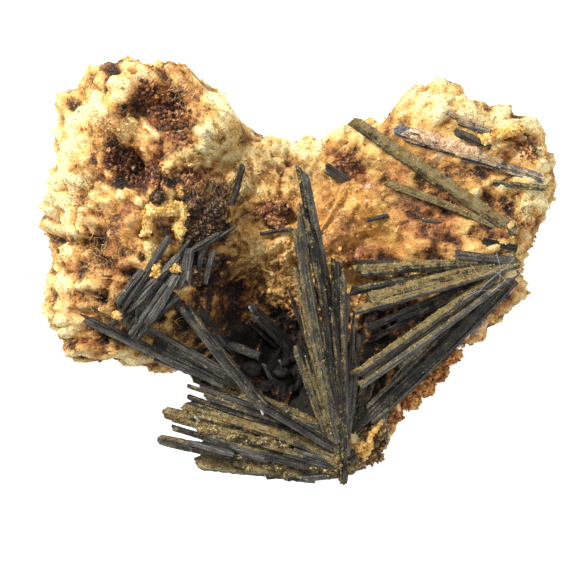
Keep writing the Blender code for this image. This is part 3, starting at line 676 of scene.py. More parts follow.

# %% [markdown]
# The rock's finish
#
# From black-brown stain to cream crust is one scale of shades, so one ramp holds them all. Noise of
# four sizes picks the shade, and the relief and the marks push it up or down, which gives a stain the
# same ragged edge as the rock has everywhere. The relief's push is painted light and shade: the rock
# is darker in its dips and lighter on its bulges, and lighter again where its top turns down at the
# rims, a painted rim glow. Steep walls are made darker. Only then do the tinted stains lay their own
# hue over it. Grains a third of a millimetre across are bump, finer than the mesh.


# %% Rock finish
def rock_finish():
    finish = Finish("matrix_rock")
    place = finish.place()
    drift = finish.noise(finish.warped(place, 7.0, 1.6), 5.5, 4.0, 0.6)
    blot = finish.noise(finish.warped(place, 2.4, 0.5), 1.9, 4.0, 0.65)
    speck = finish.noise(place, 0.62, 3.0, 0.7)
    grit = finish.noise(place, 0.24, 2.0, 0.6)
    heart = finish.cells(place, 0.55)
    marks = {name: finish.attribute(name) for name in (*STAINS_AND_PAINTED_LIGHT, "hollow", "rim", "wall", "calm")}

    wear = (drift - 0.5) * 1.3 + (blot - 0.5) * 1.15 + (speck - 0.5) * 1.2
    wear = wear * (1 - marks["calm"] * 0.48)
    # Painted light and shade: the level falls in dips (hollow) and rises on bulges and at the rims
    # (rim, a painted glow); the dark and pale marks are partly painted shade and painted rim glow.
    level = 0.535 + wear * 0.80 - marks["hollow"] * 0.40 + marks["pale"] * 0.20
    level = level + marks["rim"] * 0.50 - marks["dark"] * 0.62 - marks["rust"] * 0.08
    # Steep walls are made darker, and darker still in broad noise patches.
    dark_wall_patches = finish.noise(finish.warped(place, 9.0, 2.0), 11.0, 2.0, 0.5).above(0.56, 0.07)
    level = level - marks["wall"] * 0.10 - dark_wall_patches * marks["wall"] * 0.26
    level = level + (grit - 0.5) * 0.45 + finish.attribute("shade") * 0.14
    ground = finish.node("ValToRGB", {"stops": table("""
    0 0.004 0.003 0.002; 0.16 0.04 0.016 0.007; 0.3 0.165 0.068 0.018; 0.43 0.4 0.195 0.048
    0.56 0.67 0.385 0.105; 0.71 0.87 0.61 0.215; 0.88 0.98 0.85 0.46""")}, {0: level})
    for name, tint, edge, most in (
            ("moss", (0.50, 0.46, 0.30), 0.42, 0.75),
            ("pink", (0.86, 0.47, 0.25), 0.38, 0.80),
            ("amber", (0.95, 0.56, 0.12), 0.38, 0.88),
            ("rust", (0.52, 0.19, 0.045), 0.46, 0.85)):
        mask = (marks[name] + wear * 0.55).above(edge, 0.20) * most
        shaded = finish.mix(1.0, ground, tint, "MULTIPLY")
        bright = finish.mix(level.held() * 0.9, shaded, finish.mix(0.40, ground, tint))
        ground = finish.mix(mask, ground, bright)
    rusty = (speck + (blot - 0.5) * 0.5 + marks["rust"] * 0.06).above(0.60, 0.05)
    lighter = (1 - marks["dark"]).held()
    ground = finish.mix(rusty * (lighter * 0.5 + 0.05), ground, (0.28, 0.095, 0.020))
    flecks = grit.above(0.66, 0.05)
    ground = finish.mix(flecks * 0.4, ground, (0.07, 0.035, 0.018))
    thread = finish.noise(finish.warped(place, 1.6, 0.5), 1.0, 3.0, 0.6) - 0.5
    thread = 1 - thread.maths("ABSOLUTE").above(0.022, 0.018)
    thread = thread * (1 - marks["calm"] * 0.7) * lighter
    ground = finish.mix(thread * 0.48, ground, (0.17, 0.085, 0.030))
    sparkle = finish.noise(place, 0.42, 2.0, 0.7).above(0.665, 0.03)
    ground = finish.mix(sparkle * lighter * 0.6, ground, (0.95, 0.88, 0.68))

    relief = heart * -0.5 + grit * 0.7 + speck * 0.8
    normal = finish.bump(relief, 0.9, 0.00030)
    wax = (marks["amber"] + wear * 0.4).above(0.5, 0.25)
    return finish.set(Base_Color=ground, Roughness=0.90 - 0.50 * wax, Coat_Weight=wax * 0.4,
                      Coat_Roughness=0.25, Normal=normal)


rock_look = rock_finish()
rock = make_piece("rock", [{"points": rock_places, "quads": rock_quads, "fans": rock_fans,
                            "marks": rock_mark_values}], rock_look, smooth=True)
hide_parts("matrix")

# %% [markdown]
# The blades
#
# Stibnite grows as long flattened prisms with deep grooves along them, and one blade is often a row of
# rods that end at unlike lengths. A rod is a cross-section carried along a straight axis: a flattened
# six-sided outline whose sides are cut by grooves, a little wider at some steps than at others, closed
# by a low slanting end. Thin needles lie against it. `crust` says how much of a blade carries the
# olive and mustard coat, from 0 to 1, which sits on the sides that face up and to the left, towards
# the key lamp: partly real crust on the upper sides and partly painted light, since the lighter coat
# marks the lit sides.

# %% Blade list
# A row is one blade: its tip and its foot, each across, up and high, its width, its depth
# and its crust. The thin ones at the end of a table aren't in the solids.
BLADES = {name: table(rows) for name, rows in {
    "main_spray": """
        # upright fan
        1 21 36 8.4 -14 25.4 2 1.7 0.45; 0.6 11.6 35 9.2 -33.4 21.5 3.8 2.6 0.5
        -0.2 1.4 30.6 7.8 -34 20 1.7 1.7 0.75; -1.6 -2.8 27.6 8.4 -29.4 20.4 0.9 0.9 0.05
        8.4 2.6 31.8 9.4 -36.4 20 2.7 2.2 0.4; 6 -3.4 31.2 9 -34.4 21 2 1.8 0.5
        5 -9 30 9.2 -36.4 20.6 2.2 2 0.55; 11.6 -7.6 24 9.8 -36.8 19 1.2 1.2 0.1
        2.8 -11.6 28.2 8.4 -36 19.8 2 1.8 0.5; 0.4 -14.2 25.6 8.2 -37.4 18.5 2.6 1.8 0.45
        9 -28 20.5 9.5 -41.8 16.6 1.6 2.6 0.15; 7 -30 18.5 8 -40.6 16 2.2 2.4 0.8
        # spray that lies out to the left
        -28 -33.2 10.5 4 -39.4 14 2.6 2 0.3; -26.9 -27.9 12.6 7 -36.2 15.6 2.6 2.2 0.65
        -22.8 -27.1 15.6 7.6 -35.4 17.5 2.4 1.8 0.75; -20.4 -29.8 15 4.8 -38.6 16 4.2 1.5 0.6
        -25 -31 12 5.2 -39 14.8 1.5 1.5 0.25; -13.2 -35.9 14.2 6 -39.4 15.5 2.2 1.8 0.35
        -20.4 -37.8 9 4 -40.4 13.4 4.6 1.8 0.45; -21.4 -24.2 16.6 8 -33.6 18 2 1.7 0.35
        -21.2 -25.8 15.8 8 -34.8 17 1.8 1.7 0.4; -22.8 -19.6 13.6 8 -32.4 18.4 2.4 1.8 0.6
        -2 -41.4 12.6 7.6 -38.8 15.4 1.2 1.1 0.2
        # long blade that crosses the hollow in two lengths
        -23.4 -5.4 24.2 -6.2 -26.8 26.4 2.2 2 0.12; -8 -25.4 26.6 8.4 -35.4 19.5 2.2 2 0.2
        # tuft to the right of the foot
        17.8 -27 15 9.4 -37.2 16.5 2.6 2.6 0.2; 18.6 -30.6 13.6 9.4 -38.4 16 3 2.8 0.25
        17 -34.4 12 9.2 -39.4 15.5 2.8 2.6 0.2; 13.8 -38 12 8.8 -39.6 15.5 2.4 2.4 0.55
        16.2 -28.6 16.6 15 -34 14 1.6 1.6 0.9
        # thin blades
        -21.8 -22.6 15.8 7 -32.8 18.6 1 1 0.3; -24.4 -29.4 13.4 5.6 -37.4 15.8 1.4 1.2 0.45
        -18.6 -32.4 15.4 6.4 -39 16.8 1.6 1.2 0.3; -21.4 -34.2 13 5.6 -40 15.4 1.8 1.4 0.15
        -12.6 -38.8 13.4 7 -40.4 15.6 2 1.4 0.55; -6 -40.6 13.4 8.4 -39.6 15.8 1.8 1.4 0.45
        -15.4 -29 16.9 8 -35.8 18.6 1.2 1.2 0.75; -19.4 -22.8 16.4 8 -32 19.2 1 1 0.15
        -10 -33.4 17.4 8.2 -38 18.4 1.4 1.2 0.6; -3.6 -33 18.2 8.6 -37 19.4 1.2 1.2 0.5
        2.2 -34.6 18.4 9 -38.8 19 1.6 1.4 0.65; 1 13.6 34.6 6.4 -10 28.6 1.5 1.3 0.25
        1.6 -2 32.4 8.4 -30 23.6 1.4 1.4 0.55; 5.6 -6.6 31.4 9 -33 22.6 1.3 1.3 0.15
        10.2 -4.2 28.6 9.6 -35 20.4 1.4 1.4 0.2; 12.6 -12 21.6 10 -36.4 18.4 1.1 1.1 0.15
        14.4 -19.6 19.6 9.8 -37 17.4 1.5 1.4 0.35; 15.6 -21.4 16.6 10 -36.6 16.8 1.1 1.1 0.6
        3.4 -20 24.6 8.6 -37.4 19.2 1.4 1.3 0.6; -21.4 -33.4 15.2 -12.4 -35.9 15.8 1.9 1.7 0.05
        -14.2 -35 16 -5.4 -37.2 16.6 1.9 1.7 0.05; -7 -36.6 16.8 1.8 -38.7 17.2 1.8 1.7 0.05
        -2 -35.6 17.6 7.6 -38.4 18.4 2 1.8 0.1; 0.4 -40.9 15 8.4 -40.2 16 1.9 1.7 0.15""",
    "right_spray": """
        31.6 3.8 26 43.8 2.4 24.6 2 1.8 0.2; 20.8 1.6 25.2 43.2 2.2 24 0.9 0.9 0.1
        11.6 0.2 26.4 43.8 2.6 24.2 2.4 2 0.55; 10.6 -3.7 25 43.4 1.6 22.8 2 1.8 0.2
        10.9 -6.8 27.8 44.2 2.6 24.4 3.2 2.2 0.7; 14.4 -11 20 43 0.8 21.6 1.6 1.6 0.05
        11.6 -20.4 25.4 43.2 1.8 23.4 2 1.8 0.85; 12.4 -22.2 24.6 43.6 0.4 22.6 2.2 1.8 0.3
        12.4 -30.6 18.4 43.2 -0.8 21.6 4 2.6 0.15; 20.8 -19.4 15.4 42.8 -1.4 21 1.8 1.6 0.3
        20.4 -24.2 14 42.2 -2.6 20 1.8 1.6 0.25
        # thin blades
        19.6 -23.8 16.8 44.2 0.4 23 1.8 1.5 0.2; 27 -18.8 15.6 43.6 -1.8 21.6 1.5 1.3 0.45
        23.8 -17.6 18 43.6 0.6 22.8 1 1 0.55; 16.2 -7.4 22 42.8 1.4 23.2 1.1 1.1 0.1
        15 -13.4 18.4 42.6 0.6 22 1.2 1.1 0.05; 20 -9.6 19.6 42.8 0.8 22.6 1.3 1.2 0.1
        24.6 -8.2 20.8 42 0.4 22.6 1 1 0.25; 20.4 -15.6 17.6 42.4 0 22.4 1.2 1.2 0.05
        12.2 1.6 25 20.8 1.8 25.2 2 1.6 0.02""",
    "left_cluster": """
        -34.9 -7.9 27.8 -25.2 7.2 28.2 1.8 1.6 0; -33.6 -8 27.2 -23.4 3.4 27 1.8 1.6 0.05
        -32.3 -12.6 25 -24.2 0.2 26.4 3.6 2.6 0.02; -22.7 -3.6 26 -21.4 5 26.2 2.4 2 0
        -14.9 8.1 26.4 -21.8 4 26.2 1.6 1.5 0.1; -35.8 -6.4 28 -30.4 0.6 28.2 1.8 1.6 0.1
        -36.9 -10.2 25.4 -32.6 -7 27 1.6 1.6 0.05
        # thin blades
        -32.6 -12.9 25.4 -25.4 -2.6 27 2.2 1.9 0.02; -32.2 -12.4 25.2 -23.6 -4.4 26 1.9 1.7 0.02
        -32.8 -12 25.4 -28 -1.6 26.9 1.9 1.7 0.02; -34.6 -9.2 26.4 -26.8 -1.4 27.4 1.6 1.4 0.02
        -33.4 -5.6 27.2 -24.6 1.6 28 1.3 1.2 0.1; -35.2 -9.6 26 -31.2 0 27.2 1.3 1.2 0.05
        -31.8 -10.4 26 -31.6 -5 27.4 0.8 0.8 0.02; -18.2 -1.8 23.8 -16.4 4.8 24.8 1.5 1.4 0.02
        -19.6 -0.4 24.4 -18.4 5.2 25.4 1.3 1.2 0.02; -12 9.2 26 -19.2 4.4 25.6 0.9 0.9 0.1
        -25.6 0.4 27.2 -21.2 6.6 27.4 1 1 0.05""",
    "lower_left_blades": """
        -43.4 -8.6 22.6 -14.4 -22.2 17.8 2 1.8 0.15; -30.4 -11.4 20.6 -13 -21.2 17.8 3 2.2 0.1
        -28.4 -17.2 18.4 -14.7 -21.8 17.4 1 1.2 0.2""",
    "slanting_pair": """
        -19.2 -7 21.4 -11.6 -17 8 1.5 1.4 0.15; -7.2 -16.6 11.6 -15 -13.8 12 1.8 1.4 0.2""",
    "hollow_crystal": "-9.2 -6.8 17.6 1.2 -17 5 2.2 2 0.2",
    "hollow_needle_back": "-9.4 -9.8 13.4 -2.8 -15.8 4.4 0.9 0.9 0.15",
    "hollow_needle_front": "-6.4 -18.4 12 -2.4 -27 4.6 0.9 0.9 0.1",
    "upright_stub": "-10.6 21.4 23.8 -12.8 13.6 22.4 1.4 1.4 0.05",
    "saddle_needle": "-0.6 8.8 21.4 -7 7.8 16.6 0.9 0.9 0.05",
    "saddle_stub": "5.8 21 23.4 10 18.6 20.4 2 1.8 0.55",
    "long_back_pair": """
        11.4 30.2 26.4 44 8 25.2 3 2.4 0.85; 18.2 18 24.4 43.4 7.8 24.4 2 1.8 0.8""",
    "crusted_bundle": """
        20.8 28.4 27.2 40.8 21.6 25.4 2.6 2.4 0.9; 21 27 26.8 35.2 23 25.4 1.6 1.8 0.85
        49.2 18.8 23.8 33 23.4 25.4 2.4 1.6 0.3; 20.2 28.8 27.4 24.6 27.2 27.3 2.5 2.4 0
        34.4 24.6 26.4 29.6 26.2 26.4 1.6 1.6 0.05""",
    "right_edge_blade": "49.8 16.8 24.8 39.2 18 25.4 1.5 1.3 0.45",
    "back_stub": "31.8 28 27.2 38.6 25 23.4 1.7 1.6 0.5",
    "coated_ridge": "30.2 31.4 25.8 38.4 28.2 24 1.9 1.8 0.95",
    "slope_stub": "14.4 10.6 22.8 18.4 11.4 22.8 1.1 1.2 0.05",
    "slope_needle": "25 10.4 22.4 30.4 9.8 21.2 0.8 0.8 0.2",
    "root_side_blade": "37.2 6.4 26 44 4.8 24.4 1.6 1.4 0.05",
}.items()}
POINTED = {"main_spray": range(12), "left_cluster": range(7), "lower_left_blades": (0,)}
FOOT_TAPER = 0.92
STRAND_WIDTH = 1.25
WIDE_STRANDS = {"long_back_pair": 2.6, "crusted_bundle": 2.6, "right_edge_blade": 1.5,
                "right_spray": 1.35}
STOUT = {"main_spray": (12, 13, 15, 18)}
STRAND_OVERLAP = 1.45
STRAND_STEP = 2.4
ROLL_STEP = 37.0
ROLL_SPAN = 40.0
SIDES = 6
POINTS_PER_SIDE = 4
ROW_LENGTH = 0.7
GROOVE = 0.13
CRUST_RISE = 0.12
# Points towards the key lamp: the coat's lean to these sides is partly painted light.
CRUST_FACING_KEY_LAMP = np.array((-0.50, 0.45, 0.74))
NEEDLES_PER_MM = 0.9
print("blades:", sum(map(len, BLADES.values())), "on", len(BLADES), "pieces")


# %% Blade formula
def turn(vector, axis, angle):
    """A vector turned about a unit axis: v cos a + (axis x v) sin a + axis (axis . v)(1 - cos a)."""
    return (vector * math.cos(angle) + np.cross(axis, vector) * math.sin(angle)
            + axis * (axis @ vector) * (1 - math.cos(angle)))


def outline(width, depth, rng):
    """A flattened hexagon, corner up, with grooved sides, and the way each point faces."""
    corner = (np.arange(SIDES) + 0.5 + rng.uniform(-0.16, 0.16, SIDES)) * 2 * math.pi / SIDES
    corners = np.stack((0.5 * width * np.cos(corner), 0.5 * depth * np.sin(corner)), axis=1)
    onward = np.roll(corners, -1, axis=0)
    share = (np.arange(POINTS_PER_SIDE) / POINTS_PER_SIDE)[None, :, None]
    ring = (corners[:, None] * (1 - share) + onward[:, None] * share).reshape(-1, 2)
    groove = rng.uniform(0.0, GROOVE, len(ring))
    groove[::POINTS_PER_SIDE] *= 0.3
    run = np.repeat(onward - corners, POINTS_PER_SIDE, axis=0)
    facing = np.stack((run[:, 1], -run[:, 0]), axis=1)
    return ring * (1 - groove)[:, None], facing / np.linalg.norm(facing, axis=1)[:, None]


def rod(tip, foot, across, width, depth, crust, rng, point=0.0, row_length=ROW_LENGTH):
    """One rod as a grid: place = axis(v) + size(v) * outline(u), closed at both ends.

    The axis runs from foot to tip with a slight bow. The size grows from FOOT_TAPER to 1 with
    small steps, and over the last `point` mm it falls by 1 - 0.7 t**1.5. The end is a chipped,
    slanting break: the last ring keeps its size, and its points lie on a tilted plane.
    """
    along = (tip - foot) / np.linalg.norm(tip - foot)
    length = np.linalg.norm(tip - foot)
    across = across - along * (across @ along)
    across /= np.linalg.norm(across)
    upward = np.cross(across, along)
    ring, facing = outline(width, depth, rng)
    rows = max(6, int(length / row_length))
    high = np.linspace(0.0, length, rows)
    size = FOOT_TAPER + (1 - FOOT_TAPER) * np.sqrt(high / length)
    steps = np.cumsum(rng.choice((0.0, 0.0, 0.0, 1.0, -1.0), rows)) * 0.025
    size = size * (1 + np.clip(steps - steps.mean(), -0.08, 0.08))
    if point:
        size *= 1 - 0.7 * np.clip((high - length + point) / point, 0.0, 1.0) ** 1.5
    bow = 0.014 * length * rng.uniform(-1.0, 1.0, 2)[:, None] * np.sin(math.pi * high / length)
    wander = 1 + 0.025 * rng.standard_normal((rows, len(ring)))
    spread = ring[None] * (size[:, None] * wander)[:, :, None]
    lift = np.repeat(high[:, None], len(ring), axis=1)
    slant = rng.uniform(-1.1, 1.1, 2)
    lift[-1] += spread[-1] @ slant - rng.uniform(0.0, 0.35, len(ring)) * min(width, depth)
    lift[-2] = np.minimum(lift[-2], lift[-1] - 0.02)
    points = (foot + lift[:, :, None] * along
              + (spread[:, :, :1] + bow[0][:, None, None]) * across
              + (spread[:, :, 1:] + bow[1][:, None, None]) * upward)
    faces_to = facing[:, :1] * across + facing[:, 1:] * upward
    # The coat leans to the sides facing the key lamp: partly real crust, partly painted light that
    # makes the lit sides lighter.
    coated = faces_to @ (CRUST_FACING_KEY_LAMP / np.linalg.norm(CRUST_FACING_KEY_LAMP))
    cover = np.clip(crust + 0.9 * (coated - 0.5) * min(1.0, 4 * crust), 0.0, 1.0)
    cover = np.broadcast_to(cover, (rows, len(ring)))
    patch = 0.5 + 0.5 * lattice_noise(points.reshape(-1, 3) / 1.1, 91).reshape(cover.shape)
    points = points + faces_to[None] * (CRUST_RISE * cover * patch)[:, :, None]
    ends = foot + along * bow[0][0], foot + along * (length - 0.12 * min(width, depth))
    points = np.concatenate(([ends[0]], points.reshape(-1, 3), [ends[1]]))
    quads, fans = grid_faces(rows, len(ring))
    around = np.cumsum(np.linalg.norm(ring - np.roll(ring, 1, axis=0), axis=1))
    offset = rng.uniform(0.0, 50.0)
    along_map = np.stack(np.broadcast_arrays(around + offset, high[:, None]), axis=-1)
    along_map = np.concatenate(([(offset, 0.0)], along_map.reshape(-1, 2), [(offset, length)]))
    cover = np.concatenate(([crust], cover.ravel(), [crust * 0.4]))
    outward = np.concatenate(([-along], np.tile(faces_to, (rows, 1)), [along]))
    tone = np.full(len(points), rng.uniform())
    return {"points": points, "quads": quads, "fans": fans, "along": along_map,
            "outward": outward, "marks": {"crust": cover, "tone": tone}}


def blade_rods(blades, pointed, stout, strand_width, rng):
    """Each blade as a row of strands grown side by side, with thin needles against them.

    The strands share the blade's width unevenly and lie at slightly unlike heights. The longest
    stands somewhere near the middle, and each one beside it ends a step further back.
    """
    made = []
    for number, (*ends, width, depth, crust) in enumerate(blades):
        tip, foot = np.array(ends[:3]), np.array(ends[3:])
        length = np.linalg.norm(tip - foot)
        along = (tip - foot) / length
        level = np.cross(along, (0.0, 0.0, 1.0))
        level /= np.linalg.norm(level)
        roll = math.radians((number * ROLL_STEP) % ROLL_SPAN - ROLL_SPAN / 2)
        sideways = turn(level, along, roll)
        upright = np.cross(sideways, along)
        count = 1 if number in stout else max(1, round(width / strand_width))
        shares = rng.uniform(0.6, 1.4, count)
        shares /= shares.sum()
        middles = np.cumsum(shares) - shares / 2 - 0.5
        longest = rng.integers(0, count) if count < 3 else rng.integers(1, count - 1)
        for row, (share, middle) in enumerate(zip(shares, middles)):
            back = min(STRAND_STEP * abs(row - longest) * rng.uniform(0.4, 1.6), 0.4 * length)
            offset = sideways * width * middle + upright * depth * rng.uniform(-0.14, 0.14)
            strand = width * share * (STRAND_OVERLAP if count > 1 else 1.0)
            top, start = tip + offset - along * back, foot + offset * 0.8
            point = min(rng.choice((0.0, 2.5, 5.0)), 0.3 * length) * (number in pointed)
            point = 0.45 * width if number in stout else point
            coat = crust * rng.uniform(0.50, 1.12)
            made.append(rod(top, start, turn(level, along, rng.uniform(-0.35, 0.35)), strand,
                            depth * rng.uniform(0.75, 1.0), coat, rng, point))
            for _ in range(rng.poisson(NEEDLES_PER_MM * strand)):
                around = rng.uniform(0.0, 2 * math.pi)
                lean = (level * math.cos(around) * strand
                        + np.cross(level, along) * math.sin(around) * depth) * 0.40
                far, near = rng.uniform(0.35, 0.97), rng.uniform(0.0, 0.3)
                thin = rng.uniform(0.16, 0.36)
                ends = [start + lean * 0.9 + (top - start) * part for part in (far, near)]
                made.append(rod(ends[0] + lean * 0.15, ends[1] - lean * 0.1, level,
                                strand * thin, depth * thin, coat, rng, 2.0, 2.5))
    return made


# %% [markdown]
# The metal and its coat
#
# Fresh stibnite is lead grey with a mirror lustre. Here it is dulled and dusty, with fine lines
# along the blade and, on the coated sides, a matt mustard crust of tiny grains. The lines follow the
# blade, so they read the piece's own map, stretched along it.


# %% Blade finish
def blade_finish(name, metal_stops, coat_stops, gain=1.0):
    finish = Finish(name)
    place = finish.place()
    chart = finish.node("UVMap", {"uv_map": "grain"})

    def streak(fine, long):
        lines = finish.node("VectorMath", {"operation": "MULTIPLY"},
                            {0: chart, 1: (fine, long, 1.0)})
        return finish.node("TexNoise", {"noise_dimensions": "2D"},
                           {"Vector": lines, "Scale": 1.0, "Detail": 3.0, "Roughness": 0.6})

    line, band = streak(8.0, 0.25), streak(2.2, 0.12)
    broad = finish.noise(place, 2.6, 3.0, 0.6)
    dust = finish.noise(place, 0.26, 3.0, 0.75)
    clump = finish.noise(place, 0.9, 3.0, 0.65)
    grit = finish.noise(place, 0.14, 2.0, 0.6)
    crust = finish.attribute("crust") * gain
    tone = finish.attribute("tone")

    shine = line * 0.45 + band * 0.35 + 0.10 + (tone - 0.5) * 0.16 + (broad - 0.5) * 0.35
    shine = shine + (dust - 0.5) * 0.55 + (grit - 0.5) * 0.60
    metal = finish.node("ValToRGB", {"stops": metal_stops}, {0: shine})
    cover = crust + (clump - 0.5) * 1.7 + (band - 0.5) * 1.4 + (broad - 0.5) * 1.6
    dusted = (dust + (cover - 0.5) * 0.50).above(0.54, 0.05)
    coat = finish.node("ValToRGB", {"stops": coat_stops},
                       {0: dust * 0.45 + grit * 0.35 + clump * 0.20})
    brown = finish.noise(finish.warped(place, 3.0, 0.8), 2.2, 2.0, 0.6).above(0.54, 0.07)
    coat = finish.mix(brown * 0.75, coat, finish.mix(1.0, coat, (0.50, 0.36, 0.22), "MULTIPLY"))
    amber = (clump + (crust - 0.5) * 0.2).above(0.63, 0.06)
    coat = finish.mix(amber * 0.4, coat, (0.33, 0.19, 0.050))
    colour = finish.mix(dusted, metal, coat)
    bare = 1 - dusted
    rough = 0.90 - bare * 0.42 + bare * (line - 0.5) * 0.3
    normal = finish.bump(line + band * 0.6, 0.6, 0.00014)
    normal = finish.bump(dust * (0.30 + dusted), 0.8, 0.00014, normal)
    return finish.set(Base_Color=colour, Metallic=bare * 0.45, Roughness=rough, Normal=normal)


DARK_METAL = table("""
    0.3 0.007 0.006 0.006; 0.45 0.03 0.028 0.024; 0.56 0.075 0.071 0.063; 0.74 0.25 0.24 0.22""")
BLUE_METAL = table("""
    0.3 0.02 0.021 0.023; 0.45 0.075 0.08 0.088; 0.56 0.15 0.16 0.17; 0.74 0.36 0.37 0.38""")
GREY_METAL = table("""
    0.3 0.008 0.008 0.008; 0.45 0.036 0.036 0.037; 0.56 0.094 0.095 0.098
    0.74 0.34 0.34 0.34""")
MUSTARD_COAT = table("""
    0.3 0.03 0.021 0.009; 0.44 0.13 0.1 0.04; 0.54 0.29 0.235 0.1; 0.66 0.6 0.52 0.27""")
blade_look = blade_finish("stibnite_blade", DARK_METAL, MUSTARD_COAT)
grey_blade_look = blade_finish("grey_stibnite_blade", GREY_METAL, MUSTARD_COAT)
olive_blade_look = blade_finish("olive_crusted_blade", DARK_METAL, table("""
    0.3 0.05 0.04 0.018; 0.44 0.15 0.125 0.055; 0.54 0.26 0.22 0.105; 0.66 0.46 0.4 0.22"""), 1.35)
pale_blade_look = blade_finish("pale_crusted_blade", BLUE_METAL, table("""
    0.3 0.13 0.085 0.05; 0.42 0.38 0.27 0.165; 0.54 0.6 0.46 0.3; 0.66 0.84 0.72 0.52"""), 1.5)

# %% Make the blades
BLADE_LOOKS = {"long_back_pair": olive_blade_look, "crusted_bundle": pale_blade_look,
               "back_stub": olive_blade_look, "coated_ridge": pale_blade_look,
               "saddle_stub": olive_blade_look, "right_edge_blade": grey_blade_look}
coats = []
for seed, (name, blades) in enumerate(BLADES.items()):
    rng = np.random.default_rng(seed + 1)
    rods = blade_rods(blades, POINTED.get(name, ()), STOUT.get(name, ()),
                      WIDE_STRANDS.get(name, STRAND_WIDTH), rng)
    coats += [(part["points"], part["outward"], part["marks"]["crust"]) for part in rods]
    piece = make_piece(name + "_blades", rods, BLADE_LOOKS.get(name, blade_look))
    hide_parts(name)

# %% [markdown]
# Grains
#
# Much of what looks like colour on a rock is really grains that catch the light one by one. A grain
# here is an icosahedron or an octahedron whose corners are pushed about, so it has only a few
# faces, and thousands of them are worked out as arrays and kept in one mesh. They sit half sunk in
# the surface at points picked from its own mesh, so none hangs in the air. The rusty vugs are lined
# with maroon ones, the left lobe carries a heap of black ones, and the blades a mustard dust.

# %% Grain formula
GOLDEN = (1 + math.sqrt(5)) / 2
ICO_POINTS = np.array([(-1, GOLDEN, 0), (1, GOLDEN, 0), (-1, -GOLDEN, 0), (1, -GOLDEN, 0),
                       (0, -1, GOLDEN), (0, 1, GOLDEN), (0, -1, -GOLDEN), (0, 1, -GOLDEN),
                       (GOLDEN, 0, -1), (GOLDEN, 0, 1), (-GOLDEN, 0, -1), (-GOLDEN, 0, 1)])
ICO_POINTS = ICO_POINTS / np.linalg.norm(ICO_POINTS[0])
ICO_FACES = table("""
    0 11 5; 0 5 1; 0 1 7; 0 7 10; 0 10 11; 1 5 9; 5 11 4; 11 10 2; 10 7 6; 7 1 8; 3 9 4; 3 4 2
    3 2 6; 3 6 8; 3 8 9; 4 9 5; 2 4 11; 6 2 10; 8 6 7; 9 8 1
""").astype(int)
OCTA_POINTS = np.array([(1, 0, 0), (-1, 0, 0), (0, 1, 0), (0, -1, 0), (0, 0, 1), (0, 0, -1)], float)
OCTA_FACES = table("0 2 4; 2 1 4; 1 3 4; 3 0 4; 2 0 5; 1 2 5; 3 1 5; 0 3 5").astype(int)
ICO, OCTA = (ICO_POINTS, ICO_FACES), (OCTA_POINTS, OCTA_FACES)


def pick(weight, count, rng):
    """The numbers of so many points, drawn by their weights."""
    return rng.choice(len(weight), count, p=weight / weight.sum())


def turns(count, rng):
    """Random turns as matrices, each from a random unit quaternion (w, x, y, z)."""
    w, x, y, z = (lambda q: q / np.linalg.norm(q, axis=0))(rng.standard_normal((4, count)))
    return np.stack((1 - 2 * (y * y + z * z), 2 * (x * y - z * w), 2 * (x * z + y * w),
                     2 * (x * y + z * w), 1 - 2 * (x * x + z * z), 2 * (y * z - x * w),
                     2 * (x * z - y * w), 2 * (y * z + x * w), 1 - 2 * (x * x + y * y)),
                    axis=1).reshape(count, 3, 3)


def grains(places, outward, sizes, marks, rng, base=OCTA, stand=0.25):
    """Many grains as one part: corner = place + outward * stand * size + turn * (size * corner).

    Each grain's corners are pushed in or out by up to 30%, and its three widths differ by up to
    35%. Its marks are those of the place that it sits on.
    """
    shape, faces = base
    count, corners = len(places), len(shape)
    push = 1 + rng.uniform(-0.3, 0.3, (count, corners, 1))
    widths = sizes[:, None] * rng.uniform(0.65, 1.35, (count, 3))
    points = np.einsum("nij,nkj->nki", turns(count, rng), shape * push * widths[:, None])
    points += (places + outward * (sizes * stand)[:, None])[:, None]
    knit = faces[None] + corners * np.arange(count)[:, None, None]
    return {"points": points.reshape(-1, 3), "quads": np.empty((0, 4), int),
            "fans": knit.reshape(-1, 3),
            "marks": {key: np.repeat(value, corners) for key, value in marks.items()}}


# %% Grains on the rock
BIG_GRAINS, GRAINS = 2400, 9400
grain_rng = np.random.default_rng(40)
inner = rock_places[:, 2] > 1.5
weight = inner * (1.15 - np.clip(rock_mark_values["amber"], 0.0, 1.0))
weight *= 0.35 + np.linalg.norm(rock_places[:, :2] - ROCK_MIDDLE, axis=1) / 45.0
weight *= 1 + 1.2 * np.clip(rock_mark_values["rust"] + rock_mark_values["dark"], 0.0, 1.2)
picked = pick(weight, GRAINS, grain_rng)
grain_marks = {key: value[picked] for key, value in rock_mark_values.items()}
grain_marks["shade"] = grain_rng.uniform(-1.0, 1.0, GRAINS)
grain_sizes = 0.12 + 0.16 * grain_rng.uniform(0.0, 1.0, GRAINS)
grain_sizes[:BIG_GRAINS] += 0.30 * grain_rng.uniform(0.0, 1.0, BIG_GRAINS) ** 2
make_piece("rock_grains", [
    grains(rock_places[picked[some]], rock_normals[picked[some]], grain_sizes[some],
           {key: value[some] for key, value in grain_marks.items()}, grain_rng, base)
    for some, base in ((slice(BIG_GRAINS), ICO), (slice(BIG_GRAINS, None), OCTA))],
    rock_look)


